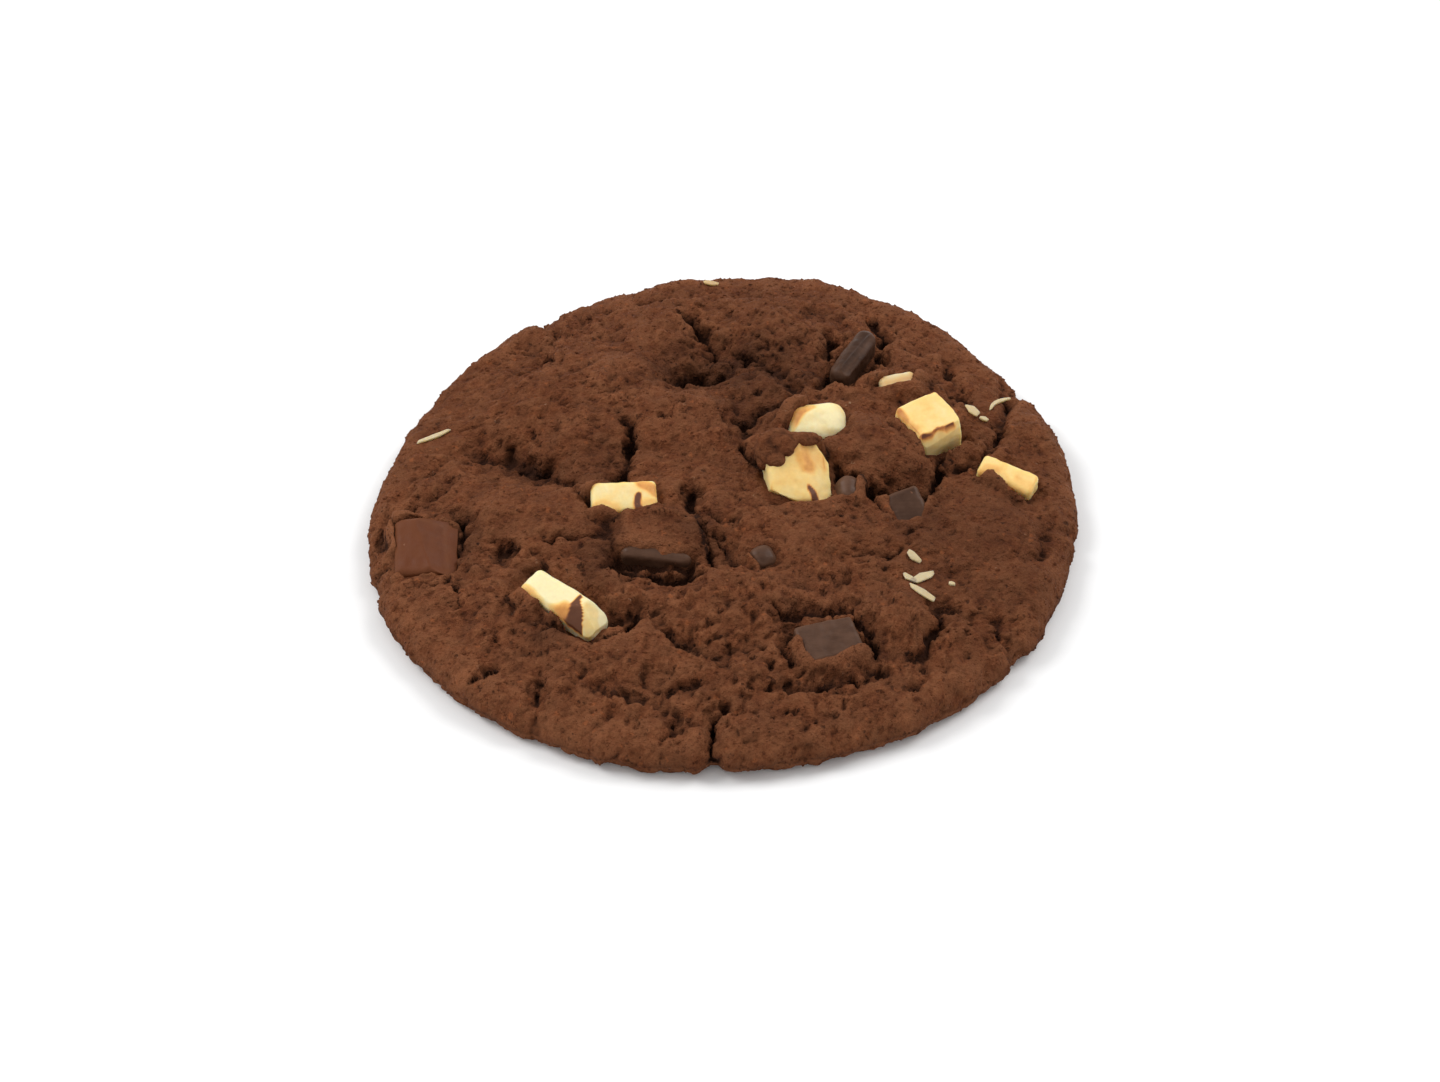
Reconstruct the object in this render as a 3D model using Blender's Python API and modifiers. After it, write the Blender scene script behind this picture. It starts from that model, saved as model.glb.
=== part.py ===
"""A round soft-baked chocolate cookie with chunks of white, dark and milk chocolate.

The dough is one solid: a low dome on a flat underside, with the swells, valleys and cracks that
the baking left in its top. Every chunk is a solid of its own in a pocket of the dough. The thin
slivers of white chocolate are fused to the dough.

The tables below are in millimetres, seen from above: x to the right, y away from the front, z up
from the underside. A turn is in degrees, anticlockwise from above. The outline isn't quite round,
so the part's origin is the middle of its box, MIDDLE, and not the tables' own zero.
"""

from typing import NamedTuple

import bmesh
import bpy
import numpy as np

MM = 0.001
MIDDLE = (-0.15, 0.59, 0.0)

# Driving sizes of the dough
MEAN_RADIUS = 52.45
EQUATOR_Z = 2.2
SHOULDER_WIDTH = 4.6
SHOULDER_RISE = 3.5
CROWN_RISE = 4.6
FOOT_INSETS = ((0.25, 1.2), (0.9, 0.4), (1.8, 0.0))
GRID_CELLS = 60
SHOULDER_SHARE = 0.12
GAP = 0.3
CHUNK_BEVEL = 0.7
FLAKE_SINK = 0.25
NOISE_SEED = 41
CROSSING_SHARE = 0.35
OUTWARD_SHARE = 0.6


class Wave(NamedTuple):
    """One swell of the outline: how far it reaches out, how often in a turn, and where it peaks."""

    reach: float
    count: int
    peak: float


class Notch(NamedTuple):
    """A nick in the outline: where it is, how deep, and the angle it spreads over."""

    turn: float
    depth: float
    spread: float


class Lobe(NamedTuple):
    """A pillow of dough, or a soft hollow where the height is negative."""

    centre: tuple
    half_sizes: tuple
    turn: float
    height: float


class Crease(NamedTuple):
    """A valley or crack along a bowed line."""

    start: tuple
    end: tuple
    bow: float
    half_width: float
    depth: float


class Chunk(NamedTuple):
    """A block of chocolate: its centre, its sides and its rotation about x, y and z."""

    centre: tuple
    sides: tuple
    rotation: tuple


class Flake(NamedTuple):
    """A sliver of white chocolate lying in the surface."""

    centre: tuple
    length: float
    width: float
    turn: float


OUTLINE = (
    Wave(1.10, 2, 57.0),
    Wave(0.73, 3, -33.0),
    Wave(0.12, 4, -4.0),
    Wave(0.17, 5, -5.0),
    Wave(0.30, 6, 12.0),
)

NOTCHES = (
    Notch(127.0, 0.9, 1.6),
    Notch(28.0, 1.0, 2.0),
    Notch(-160.0, 0.8, 2.2),
    Notch(-93.0, 0.4, 1.2),
)

LOBES = {
    "back_left": Lobe((-22.5, 19.5), (18.0, 15.0), -18, 2.0),
    "back": Lobe((9.5, 38.5), (14.0, 10.5), 0, 1.2),
    "back_middle": Lobe((-10.0, 38.0), (9.0, 7.0), 20, 0.8),
    "centre_left": Lobe((-6.0, 12.5), (9.0, 8.0), 10, 1.3),
    "ridge": Lobe((23.8, 7.6), (10.5, 8.0), -5, 2.5),
    "white_chunk_mound": Lobe((11.5, 7.0), (8.5, 9.5), 0, 0.9),
    "right": Lobe((37.0, -12.0), (13.0, 14.5), 15, 1.1),
    "right_rim": Lobe((46.0, 12.5), (6.0, 9.0), -15, 1.2),
    "left_low": Lobe((-27.0, -8.0), (11.5, 7.5), -12, 1.2),
    "cap": Lobe((-10.0, -11.8), (7.2, 5.3), 0, 2.6),
    "middle": Lobe((8.5, -12.0), (10.5, 8.0), -10, 0.9),
    "centre_low": Lobe((0.0, -26.5), (12.0, 7.5), 8, 1.1),
    "front_middle": Lobe((-12.5, -34.0), (10.0, 6.0), -12, 0.8),
    "right_low": Lobe((24.6, -27.5), (6.8, 7.2), 0, 1.7),
    "chunk_lip": Lobe((16.5, -37.0), (7.0, 3.2), 22, 1.3),
    "left_rim": Lobe((-45.5, 3.5), (7.0, 8.5), 15, 0.7),
    "front_bump": Lobe((-21.0, -42.5), (5.5, 4.0), 10, 0.8),
    "back_hollow": Lobe((-3.5, 25.5), (11.0, 9.0), 30, -3.0),
    "left_valley": Lobe((-31.0, 3.8), (13.0, 6.0), -30, -2.0),
    "centre_hollow": Lobe((2.0, 3.5), (7.0, 6.5), 0, -0.9),
    "left_pit": Lobe((-32.0, -14.5), (3.2, 2.6), -35, -1.5),
    "chunk_foot": Lobe((-14.6, -28.0), (3.4, 4.2), -30, -2.2),
    "cap_foot": Lobe((-8.5, -21.5), (8.5, 3.4), -8, -1.8),
    "cap_side": Lobe((0.0, -15.5), (4.5, 5.0), 0, -1.4),
    "ridge_foot": Lobe((27.0, -3.0), (9.0, 5.0), 20, -3.0),
    "long_chunk_bed": Lobe((19.5, 27.5), (9.0, 4.6), 60, -1.8),
    "dark_chunk_bed": Lobe((14.5, -32.0), (7.5, 6.2), 16, -1.6),
    "right_pit": Lobe((33.5, -18.4), (3.2, 2.6), 0, -0.9),
}

CREASES = {
    "back_cleft": Crease((-5.1, 40.4), (-2.1, 30.8), 0.1, 1.6, 2.4),
    "back_slit": Crease((-7.4, 25.3), (-0.8, 24.9), 0.4, 1.2, 2.6),
    "back_run": Crease((-1.3, 32.7), (7.1, 25.2), 0.3, 1.5, 1.6),
    "back_run_end": Crease((7.1, 25.2), (11.2, 17.9), 0.6, 1.5, 1.2),
    "centre_arm": Crease((11.2, 17.4), (2.1, 12.9), -1.0, 2.0, 2.0),
    "centre_drop": Crease((2.1, 12.9), (2.4, 6.0), -0.3, 1.6, 1.6),
    "middle_left": Crease((-14.0, 10.7), (-15.4, -0.4), 0.2, 1.4, 2.0),
    "lower_valley": Crease((-37.5, 8.2), (-27.5, 3.6), 1.2, 2.4, 1.6),
    "lower_valley_end": Crease((-27.5, 3.6), (-18.7, -6.2), 0.7, 1.6, 1.5),
    "milk_top": Crease((-40.4, 0.7), (-48.5, -4.8), 1.3, 1.4, 1.1),
    "milk_side": Crease((-38.4, -6.0), (-39.2, -16.0), 0.4, 1.4, 1.8),
    "left_ridge": Crease((-25.3, -13.6), (-16.4, -12.1), 0.1, 1.1, 1.3),
    "cap_front": Crease((-15.8, -18.6), (-4.0, -20.6), -0.4, 1.5, 2.4),
    "cap_right": Crease((-5.0, -3.2), (-2.0, -18.9), -0.8, 1.4, 1.9),
    "white_chunk_right": Crease((-13.3, -26.0), (-16.3, -31.0), 1.3, 1.5, 1.2),
    "front_left": Crease((-24.6, -40.6), (-26.6, -49.8), 0.3, 1.2, 1.4),
    "front": Crease((-0.6, -45.0), (-2.9, -56.0), 0.1, 1.1, 2.2),
    "front_fold": Crease((-17.9, -40.3), (-3.3, -39.7), -2.9, 1.3, 1.2),
    "middle_fold": Crease((-3.6, -35.4), (8.0, -29.7), -2.0, 1.3, 1.0),
    "low_fold": Crease((21.1, -36.2), (8.9, -41.0), 1.3, 1.3, 1.3),
    "low_fold_end": Crease((8.9, -41.0), (-1.9, -42.4), -0.3, 1.1, 0.9),
    "dark_chunk_left": Crease((8.2, -28.0), (11.4, -37.2), -0.3, 1.5, 2.0),
    "dark_chunk_back": Crease((6.5, -26.8), (16.8, -26.2), -1.6, 1.5, 1.5),
    "dark_chunk_right": Crease((17.8, -26.4), (21.0, -35.0), 0.4, 1.5, 2.0),
    "right_crack": Crease((29.9, -26.0), (26.4, -34.4), 0.6, 1.3, 1.8),
    "right_crack_end": Crease((26.9, -33.2), (25.6, -39.2), 0.8, 1.1, 0.8),
    "rim_right": Crease((37.7, -26.8), (39.4, -32.3), -0.1, 1.1, 1.2),
    "rim_right_end": Crease((39.4, -32.3), (44.5, -29.6), -0.2, 1.1, 1.3),
    "rim_east": Crease((46.7, -7.6), (44.8, -14.0), 0.1, 1.1, 1.2),
    "rim_east_end": Crease((46.7, -7.6), (52.6, -7.2), 0.4, 1.1, 1.2),
    "ridge_front": Crease((17.6, 1.0), (32.6, 4.2), -5.6, 1.7, 2.4),
    "ridge_front_end": Crease((32.3, 4.0), (38.2, 6.4), -0.6, 1.4, 1.4),
    "right_notch": Crease((43.6, 26.0), (39.5, 7.9), 0.6, 1.4, 2.0),
    "back_right": Crease((34.5, 29.7), (37.4, 18.6), -0.4, 1.3, 1.2),
    "long_chunk_left": Crease((16.6, 33.0), (14.4, 21.0), -0.5, 1.3, 1.8),
    "long_chunk_right": Crease((23.8, 40.7), (24.2, 29.8), 0.0, 1.3, 1.9),
    "middle_right": Crease((17.8, -16.6), (28.5, -10.7), -1.4, 1.2, 1.0),
    "back_notch": Crease((-28.6, 44.6), (-29.8, 24.4), 2.6, 1.3, 1.2),
    "left_notch": Crease((-54.0, -16.5), (-49.0, -15.5), 0.2, 1.1, 1.2),
}

WHITE_CHUNKS = (
    Chunk((-14.8, -5.6, 9.2), (9.6, 5.0, 4.0), (20, 0, 4)),
    Chunk((-22.9, -25.8, 7.3), (12.6, 4.8, 5.0), (10, 8, -42)),
    Chunk((10.4, -0.2, 9.2), (9.2, 9.4, 6.0), (35, 3, 8)),
    Chunk((13.8, 10.6, 9.0), (8.6, 6.6, 5.5), (24, -4, 4)),
    Chunk((30.4, 10.6, 8.9), (7.4, 7.4, 6.6), (6, -2, 34)),
    Chunk((41.6, 2.0, 6.8), (8.8, 3.6, 3.6), (14, 6, -27)),
    Chunk((26.2, 22.5, 7.1), (5.8, 3.6, 4.0), (16, 0, 14)),
)

DARK_CHUNKS = (
    Chunk((19.5, 28.3, 7.5), (11.2, 3.6, 5.0), (0, -2, 62)),
    Chunk((-9.7, -14.6, 7.5), (10.4, 7.0, 4.6), (10, 2, -8)),
    Chunk((14.4, -32.9, 6.0), (8.6, 6.6, 5.4), (6, 0, 18)),
    Chunk((26.2, -5.0, 6.4), (5.8, 5.6, 5.0), (22, -10, 20)),
    Chunk((17.8, -2.6, 8.4), (3.4, 4.6, 4.4), (20, 14, 10)),
    Chunk((5.2, -17.2, 8.7), (3.4, 3.4, 3.6), (25, 0, 30)),
)

MILK_CHUNKS = (Chunk((-43.2, -12.3, 5.7), (9.4, 9.8, 4.6), (18, -8, 0)),)

FLAKES = {
    "rim_line": Flake((-43.8, 12.2), 6.3, 1.0, 32),
    "rim_arc": Flake((42.2, 19.8), 6.0, 1.1, 46),
    "ridge_speck": Flake((37.2, 17.1), 2.8, 1.1, -48),
    "ridge_speck_small": Flake((38.9, 15.4), 1.5, 0.9, -20),
    "cluster_back": Flake((27.0, -16.6), 2.9, 1.1, -40),
    "cluster_left": Flake((26.2, -20.7), 2.2, 1.0, -46),
    "cluster_middle": Flake((28.0, -20.3), 3.7, 1.5, 38),
    "cluster_front": Flake((27.7, -23.5), 4.6, 1.2, -31),
    "cluster_speck": Flake((32.2, -21.3), 1.0, 0.9, -10),
    "back_spot": Flake((-2.3, 50.0), 2.9, 1.3, 6),
}


def smooth_step(share):
    """Rises from 0 to 1 with level ends."""
    held = np.clip(share, 0.0, 1.0)
    return held * held * (3.0 - 2.0 * held)


def outline_radius(angle):
    """Distance from the middle to the dough's outline, at an angle in radians."""
    radius = np.full_like(angle, MEAN_RADIUS)
    for wave in OUTLINE:
        radius += wave.reach * np.cos(wave.count * (angle - np.radians(wave.peak)))
    for notch in NOTCHES:
        away = np.angle(np.exp(1j * (angle - np.radians(notch.turn))))
        radius -= notch.depth * np.exp(-((away / np.radians(notch.spread)) ** 2))
    return radius


def lattice_noise(x, y, cell, seed):
    """Smooth noise from -1 to 1: random values on a square lattice, joined by smooth steps."""
    size = 64
    values = np.random.default_rng(seed).uniform(-1.0, 1.0, (size, size))
    across, along = x / cell + size / 2, y / cell + size / 2
    column, row = np.floor(across).astype(int), np.floor(along).astype(int)
    right, up = smooth_step(across - column), smooth_step(along - row)
    near = values[column % size, row % size] * (1 - right) + values[(column + 1) % size, row % size] * right
    far_row = (row + 1) % size
    far = values[column % size, far_row] * (1 - right) + values[(column + 1) % size, far_row] * right
    return near * (1 - up) + far * up


def lobe_height(x, y, lobe):
    """A pillow rises steeply from its edge and is level on top. A hollow is a soft bowl."""
    turn = np.radians(lobe.turn)
    east, north = x - lobe.centre[0], y - lobe.centre[1]
    along = (east * np.cos(turn) + north * np.sin(turn)) / lobe.half_sizes[0]
    across = (north * np.cos(turn) - east * np.sin(turn)) / lobe.half_sizes[1]
    reach = np.clip(np.hypot(along, across), 0.0, 1.0)
    if lobe.height < 0.0:
        return lobe.height * (1.0 - reach**2) ** 2
    return lobe.height * (1.0 - reach**3) ** 1.5


def crease_depth(x, y, crease):
    """A bell-shaped groove along a bowed line, with its ends rounded off."""
    start, end = np.array(crease.start), np.array(crease.end)
    length = np.hypot(*(end - start))
    direction = (end - start) / length
    east, north = x - start[0], y - start[1]
    along = east * direction[0] + north * direction[1]
    across = north * direction[0] - east * direction[1]
    share = np.clip(along / length, 0.0, 1.0)
    sideways = across - 4.0 * crease.bow * share * (1.0 - share)
    beyond = along - share * length
    return crease.depth * np.exp(-(sideways**2 + beyond**2) / crease.half_width**2)


def swell(x, y):
    """How far the lobes, the hollows and the knobbly surface stand above the plain dome."""
    height = sum(lobe_height(x, y, lobe) for lobe in LOBES.values())
    height += 0.45 * lattice_noise(x, y, 7.5, NOISE_SEED + 2)
    return height + 0.35 * lattice_noise(x, y, 3.6, NOISE_SEED + 3)


def crack_depth(x, y):
    """How deep the creases go: the deepest counts in full, and those that cross it in part."""
    wander_x = x + 0.9 * lattice_noise(x, y, 4.0, NOISE_SEED)
    wander_y = y + 0.9 * lattice_noise(x, y, 4.0, NOISE_SEED + 1)
    depths = [crease_depth(wander_x, wander_y, crease) for crease in CREASES.values()]
    deepest = np.max(depths, axis=0)
    return deepest + CROSSING_SHARE * (np.sum(depths, axis=0) - deepest)


def dome_height(x, y):
    """Height of the plain dome inside the shoulder."""
    inset = outline_radius(np.arctan2(y, x)) - np.hypot(x, y)
    share = np.clip((inset - SHOULDER_WIDTH) / (MEAN_RADIUS - SHOULDER_WIDTH), 0.0, 1.0)
    return EQUATOR_Z + SHOULDER_RISE + CROWN_RISE * (1.0 - (1.0 - share) ** 2)


def top_points(u, v):
    """The dough's top over a square grid of u and v from -1 to 1.

    Squares round the middle of the grid become rings round the middle of the dough. The outer
    rings follow a quarter ellipse down to the equator. The swell stands at right angles to the
    plain shape, so that it also roughens the outline, and the cracks fade out over the shoulder.
    """
    ring = np.maximum(np.abs(u), np.abs(v))
    whole = np.where(ring > 0.0, ring, 1.0)
    side_on = np.abs(u) >= np.abs(v)
    slope = np.where(side_on, v, u) / whole * np.pi / 4.0
    sign = np.where(np.where(side_on, u, v) < 0.0, -1.0, 1.0)
    unit_x = np.where(side_on, sign * np.cos(slope), np.sin(slope))
    unit_y = np.where(side_on, np.sin(slope), sign * np.cos(slope))
    radius = outline_radius(np.arctan2(unit_y, unit_x))
    flat_share = 1.0 - SHOULDER_SHARE
    lean = np.clip((ring - flat_share) / SHOULDER_SHARE, 0.0, 1.0) * np.pi / 2.0
    reach = (radius - SHOULDER_WIDTH) * np.minimum(ring / flat_share, 1.0) + SHOULDER_WIDTH * np.sin(lean)
    x, y = unit_x * reach, unit_y * reach
    plain = dome_height(x, y) - SHOULDER_RISE * (1.0 - np.cos(lean))
    raised = swell(x, y)
    out = np.sin(lean) * raised * OUTWARD_SHARE
    height = plain + np.cos(lean) * (raised - crack_depth(x, y))
    return x + unit_x * out, y + unit_y * out, height


def surface_height(x, y):
    """Height of the finished top at one place inside the shoulder."""
    place = np.array([x]), np.array([y])
    return float(dome_height(*place)[0] + swell(*place)[0] - crack_depth(*place)[0])


def to_metres(points):
    """Points of the tables, in millimetres, as places in the part's own frame, in metres."""
    return (np.asarray(points) - MIDDLE) * MM


def new_material(name, colour, roughness):
    """A plain Principled material."""
    material = bpy.data.materials.new(name)
    material.use_nodes = True
    shader = material.node_tree.nodes["Principled BSDF"]
    shader.inputs["Base Color"].default_value = (*colour, 1.0)
    shader.inputs["Roughness"].default_value = roughness
    shader.inputs["Metallic"].default_value = 0.0
    return material


def new_object(name, mesh_builder, collection, material=None):
    """Puts the finished bmesh into an object of the collection."""
    mesh = bpy.data.meshes.new(name)
    mesh_builder.to_mesh(mesh)
    mesh_builder.free()
    made = bpy.data.objects.new(name, mesh)
    collection.objects.link(made)
    if material:
        mesh.materials.append(material)
    return made


def block(name, sides, centre, rotation, collection, material=None):
    """A box from the cube primitive, with its size in its mesh and its place on the object."""
    builder = bmesh.new()
    bmesh.ops.create_cube(builder, size=1.0)
    bmesh.ops.scale(builder, vec=[side * MM for side in sides], verts=builder.verts)
    made = new_object(name, builder, collection, material)
    made.location = to_metres(centre)
    made.rotation_euler = np.radians(rotation)
    return made


def build_dough(collection, material):
    """The dough before its pockets: a grid bent over the dome, rings down to the foot, a flat base."""
    builder = bmesh.new()
    bmesh.ops.create_grid(builder, x_segments=GRID_CELLS, y_segments=GRID_CELLS, size=1.0)
    grid = np.array([vert.co[:2] for vert in builder.verts])
    x, y, z = top_points(grid[:, 0], grid[:, 1])
    for vert, place in zip(builder.verts, to_metres(np.stack([x, y, z], axis=1))):
        vert.co = place
    rim = [edge for edge in builder.edges if edge.is_boundary]
    last_inset = 0.0
    for inset, height in FOOT_INSETS:
        made = bmesh.ops.extrude_edge_only(builder, edges=rim)["geom"]
        rim = [item for item in made if isinstance(item, bmesh.types.BMEdge)]
        for vert in (item for item in made if isinstance(item, bmesh.types.BMVert)):
            outward = vert.co.xy.normalized()
            vert.co.xy -= outward * (inset - last_inset) * MM
            vert.co.z = height * MM
        last_inset = inset
    bmesh.ops.holes_fill(builder, edges=rim, sides=0)
    bmesh.ops.recalc_face_normals(builder, faces=builder.faces)
    return new_object("dough", builder, collection, material)


def add_boolean(target, operation, tools):
    """A Boolean of the whole collection of tools, applied to the target's mesh."""
    modifier = target.modifiers.new(operation.lower(), "BOOLEAN")
    modifier.operation = operation
    modifier.operand_type = "COLLECTION"
    modifier.collection = tools
    modifier.solver = "EXACT"
    bpy.context.view_layer.update()
    graph = bpy.context.evaluated_depsgraph_get()
    cut = bpy.data.meshes.new_from_object(target.evaluated_get(graph))
    target.modifiers.remove(modifier)
    old = target.data
    target.data = cut
    bpy.data.meshes.remove(old)


def remove_all(tools):
    """Removes a collection of tools with its objects."""
    for tool in list(tools.objects):
        bpy.data.objects.remove(tool)
    bpy.data.collections.remove(tools)


def new_collection(name, hidden=False):
    """A collection in the scene."""
    made = bpy.data.collections.new(name)
    made.hide_render = hidden
    bpy.context.scene.collection.children.link(made)
    return made


def add_chunks(prefix, chunks, parts, cutters, material):
    """The chunks of one chocolate, each with a cutter that leaves a gap round it."""
    for number, chunk in enumerate(chunks, 1):
        name = f"{prefix}_{number}" if len(chunks) > 1 else prefix
        made = block(name, chunk.sides, chunk.centre, chunk.rotation, parts, material)
        bevel = made.modifiers.new("worn_edges", "BEVEL")
        bevel.width = CHUNK_BEVEL * MM
        bevel.segments = 2
        roomy = [side + 2 * GAP for side in chunk.sides]
        cutter = block(f"{name}_pocket", roomy, chunk.centre, chunk.rotation, cutters)
        cutter.hide_render = True
        cutter.display_type = "WIRE"


def add_flakes(dough):
    """The slivers, joined to the dough as one union."""
    flakes = new_collection("flakes", hidden=True)
    for name, flake in FLAKES.items():
        height = surface_height(*flake.centre) - FLAKE_SINK
        sides = (flake.length, flake.width, 1.4)
        block(name, sides, (*flake.centre, height), (0, 0, flake.turn), flakes)
    add_boolean(dough, "UNION", flakes)
    remove_all(flakes)


def main():
    """Clears the scene and builds the cookie."""
    for old in list(bpy.data.objects):
        bpy.data.objects.remove(old)
    bpy.context.scene.unit_settings.system = "METRIC"
    parts = new_collection("chocolate_cookie")
    cutters = new_collection("cutters", hidden=True)
    white = new_material("white_chocolate", (0.80, 0.62, 0.33), 0.45)
    dark = new_material("dark_chocolate", (0.070, 0.042, 0.030), 0.32)
    milk = new_material("milk_chocolate", (0.155, 0.058, 0.028), 0.38)
    dough = build_dough(parts, new_material("cookie_dough", (0.125, 0.046, 0.022), 0.85))
    add_flakes(dough)
    add_chunks("white_chunk", WHITE_CHUNKS, parts, cutters, white)
    add_chunks("dark_chunk", DARK_CHUNKS, parts, cutters, dark)
    add_chunks("milk_chunk", MILK_CHUNKS, parts, cutters, milk)
    add_boolean(dough, "DIFFERENCE", cutters)


main()
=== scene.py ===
"""The looks of a round soft-baked chocolate cookie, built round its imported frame.

A low dome of dark dough holds chunks of white, dark and milk chocolate, and slivers of white
chocolate lie in its surface. Every table is in millimetres, seen from above: x to the right, y away
from the front, z up from the underside. A turn is in degrees, anticlockwise from above. The
origin of the frame is the middle of the cookie's box, MIDDLE, and not the tables' own zero.
"""

import itertools
import logging
import math
from dataclasses import dataclass
from enum import Enum

import bpy
import numpy as np
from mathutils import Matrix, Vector


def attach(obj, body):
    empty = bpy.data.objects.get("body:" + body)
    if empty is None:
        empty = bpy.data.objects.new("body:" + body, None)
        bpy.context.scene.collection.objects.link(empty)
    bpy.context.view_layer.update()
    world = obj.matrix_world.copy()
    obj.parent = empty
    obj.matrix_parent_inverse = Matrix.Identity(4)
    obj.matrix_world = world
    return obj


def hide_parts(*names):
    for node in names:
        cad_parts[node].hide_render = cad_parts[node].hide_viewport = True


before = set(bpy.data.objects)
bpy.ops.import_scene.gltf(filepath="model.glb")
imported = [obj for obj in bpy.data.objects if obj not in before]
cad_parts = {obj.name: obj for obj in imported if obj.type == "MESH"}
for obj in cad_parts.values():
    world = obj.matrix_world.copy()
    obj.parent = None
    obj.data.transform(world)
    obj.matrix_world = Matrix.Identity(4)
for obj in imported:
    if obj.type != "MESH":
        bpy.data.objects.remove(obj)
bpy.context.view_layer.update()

Array = np.ndarray
Pair = tuple[float, float]
Triple = tuple[float, float, float]
Material = bpy.types.Material
Mesh = bpy.types.Mesh
NodeTree = bpy.types.NodeTree
Piece = bpy.types.Object
Socket = bpy.types.NodeSocket
Number = Socket | float
Colour = Socket | Triple
Shell = tuple[Array, list[Array]]

MM = 0.001
MIDDLE = (-0.15, 0.59, 0.0)
ROOT = "root"
# Farther than any neighbour, counted in cells or in a flake's half sizes
OUT_OF_REACH = 9.0
log = logging.getLogger("chocolate_cookie")


def smooth_step(share: Array) -> Array:
    """Rises from 0 to 1 with level ends: 3s squared less 2s cubed."""
    held = np.clip(share, 0.0, 1.0)
    return held * held * (3.0 - 2.0 * held)


def to_metres(points: Array) -> Array:
    """Points of the tables, in millimetres, as places in the frame, in metres."""
    return (np.asarray(points) - MIDDLE) * MM


@dataclass(frozen=True)
class Fade:
    """A gain that rises with level ends from 0 to its amount, over a span that begins at start."""

    amount: float
    span: float
    start: float = 0.0

    def at(self, measure: Array) -> Array:
        """The gain for each measure: the amount times a smooth step of the way over the span."""
        return self.amount * smooth_step((measure - self.start) / self.span)


@dataclass(frozen=True)
class PlanNoise:
    """Smooth noise over the plan: random values on a square lattice, joined by smooth steps."""

    cell: float
    seed: int
    size: int = 64

    def at(self, x: Array, y: Array) -> Array:
        """Noise from -1 to 1.

        Args:
            x, y: places across and along, in mm.

        Returns:
            One value for each place.
        """
        values = np.random.default_rng(self.seed).uniform(-1.0, 1.0, (self.size, self.size))
        across, along = x / self.cell + self.size / 2, y / self.cell + self.size / 2
        column, row = np.floor(across).astype(int), np.floor(along).astype(int)
        right, up = smooth_step(across - column), smooth_step(along - row)
        column, row = column % self.size, row % self.size
        next_column, next_row = (column + 1) % self.size, (row + 1) % self.size
        near = values[column, row] * (1 - right) + values[next_column, row] * right
        far = values[column, next_row] * (1 - right) + values[next_column, next_row] * right
        return near * (1 - up) + far * up


def wander(x: Array, y: Array, swings: tuple[Triple, ...]) -> list[Array]:
    """Shifts places over the plan by noise, so that what is drawn there gets ragged edges.

    Args:
        x: places across, in mm.
        y: places along, in mm.
        swings: the reach and the cell size in mm and the seed of each noise that is added.

    Returns:
        The shifted places across and along.
    """
    moved = []
    for axis, place in enumerate((x, y)):
        for reach, cell, seed in swings:
            place = place + reach * PlanNoise(cell, seed + axis).at(x, y)
        moved.append(place)
    return moved


@dataclass(frozen=True)
class SolidNoise:
    """Smooth noise in space: random values on a cubic lattice, joined by smooth steps."""

    cell: float
    seed: int
    size: int = 32

    def at(self, points: Array) -> Array:
        """Noise from -1 to 1.

        Args:
            points: places in mm, one a row.

        Returns:
            One value for each place.
        """
        values = np.random.default_rng(self.seed).uniform(-1.0, 1.0, (self.size,) * 3)
        scaled = points / self.cell + self.size
        corner = np.floor(scaled).astype(int)
        share = smooth_step(scaled - corner)
        total = np.zeros(len(points))
        for step in itertools.product((0, 1), repeat=3):
            weight = np.prod(np.where(step, share, 1.0 - share), axis=1)
            total += weight * values[tuple(((corner + step) % self.size).T)]
        return total


@dataclass(frozen=True)
class Cells:
    """Points scattered in space, one in each cell of a cubic lattice."""

    cell: float
    seed: int
    size: int = 32

    def distances(self, points: Array) -> tuple[Array, Array]:
        """How far the nearest and the second nearest scattered point are.

        Args:
            points: places in mm, one a row.

        Returns:
            Two distances in mm for each place.
        """
        shape = (self.size,) * 3 + (3,)
        jitter = np.random.default_rng(self.seed).uniform(0.0, 1.0, shape)
        scaled = points / self.cell + self.size
        corner = np.floor(scaled).astype(int)
        nearest, second = np.full((2, len(points)), OUT_OF_REACH)
        for step in itertools.product((-1, 0, 1), repeat=3):
            index = corner + step
            middle = index + jitter[tuple((index % self.size).T)]
            reach = ((scaled - middle) ** 2).sum(axis=1)
            second = np.minimum(second, np.maximum(nearest, reach))
            nearest = np.minimum(nearest, reach)
        return self.cell * np.sqrt(nearest), self.cell * np.sqrt(second)

    def pebbles(self, points: Array) -> Array:
        """Rounded grains: 1 at a grain's middle, less the squared distance to it in cells."""
        nearest, _ = self.distances(points)
        return 1.0 - np.minimum(nearest / self.cell, 1.0) ** 2

    def seams(self, points: Array, width: float) -> Array:
        """Narrow seams midway between neighbouring points: 1 on a seam, a bell of width beside it."""
        nearest, second = self.distances(points)
        return np.exp(-(((second - nearest) / width) ** 2))


@dataclass(frozen=True)
class Pebbles:
    """Rounded grains as relief: how they are scattered, their height in mm, and their zero level."""

    cells: Cells
    height: float
    level: float

    def at(self, points: Array) -> Array:
        """Height in mm for each place: what the grains rise above their zero level, scaled."""
        return self.height * (self.cells.pebbles(points) - self.level)


@dataclass(frozen=True)
class Wave:
    """One swell of the outline: how far it reaches out, how often in a turn, where it peaks."""

    reach: float
    count: int
    peak: float


@dataclass(frozen=True)
class Notch:
    """A nick in the outline: where it is, how deep, and the angle it spreads over."""

    turn: float
    depth: float
    spread: float


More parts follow.
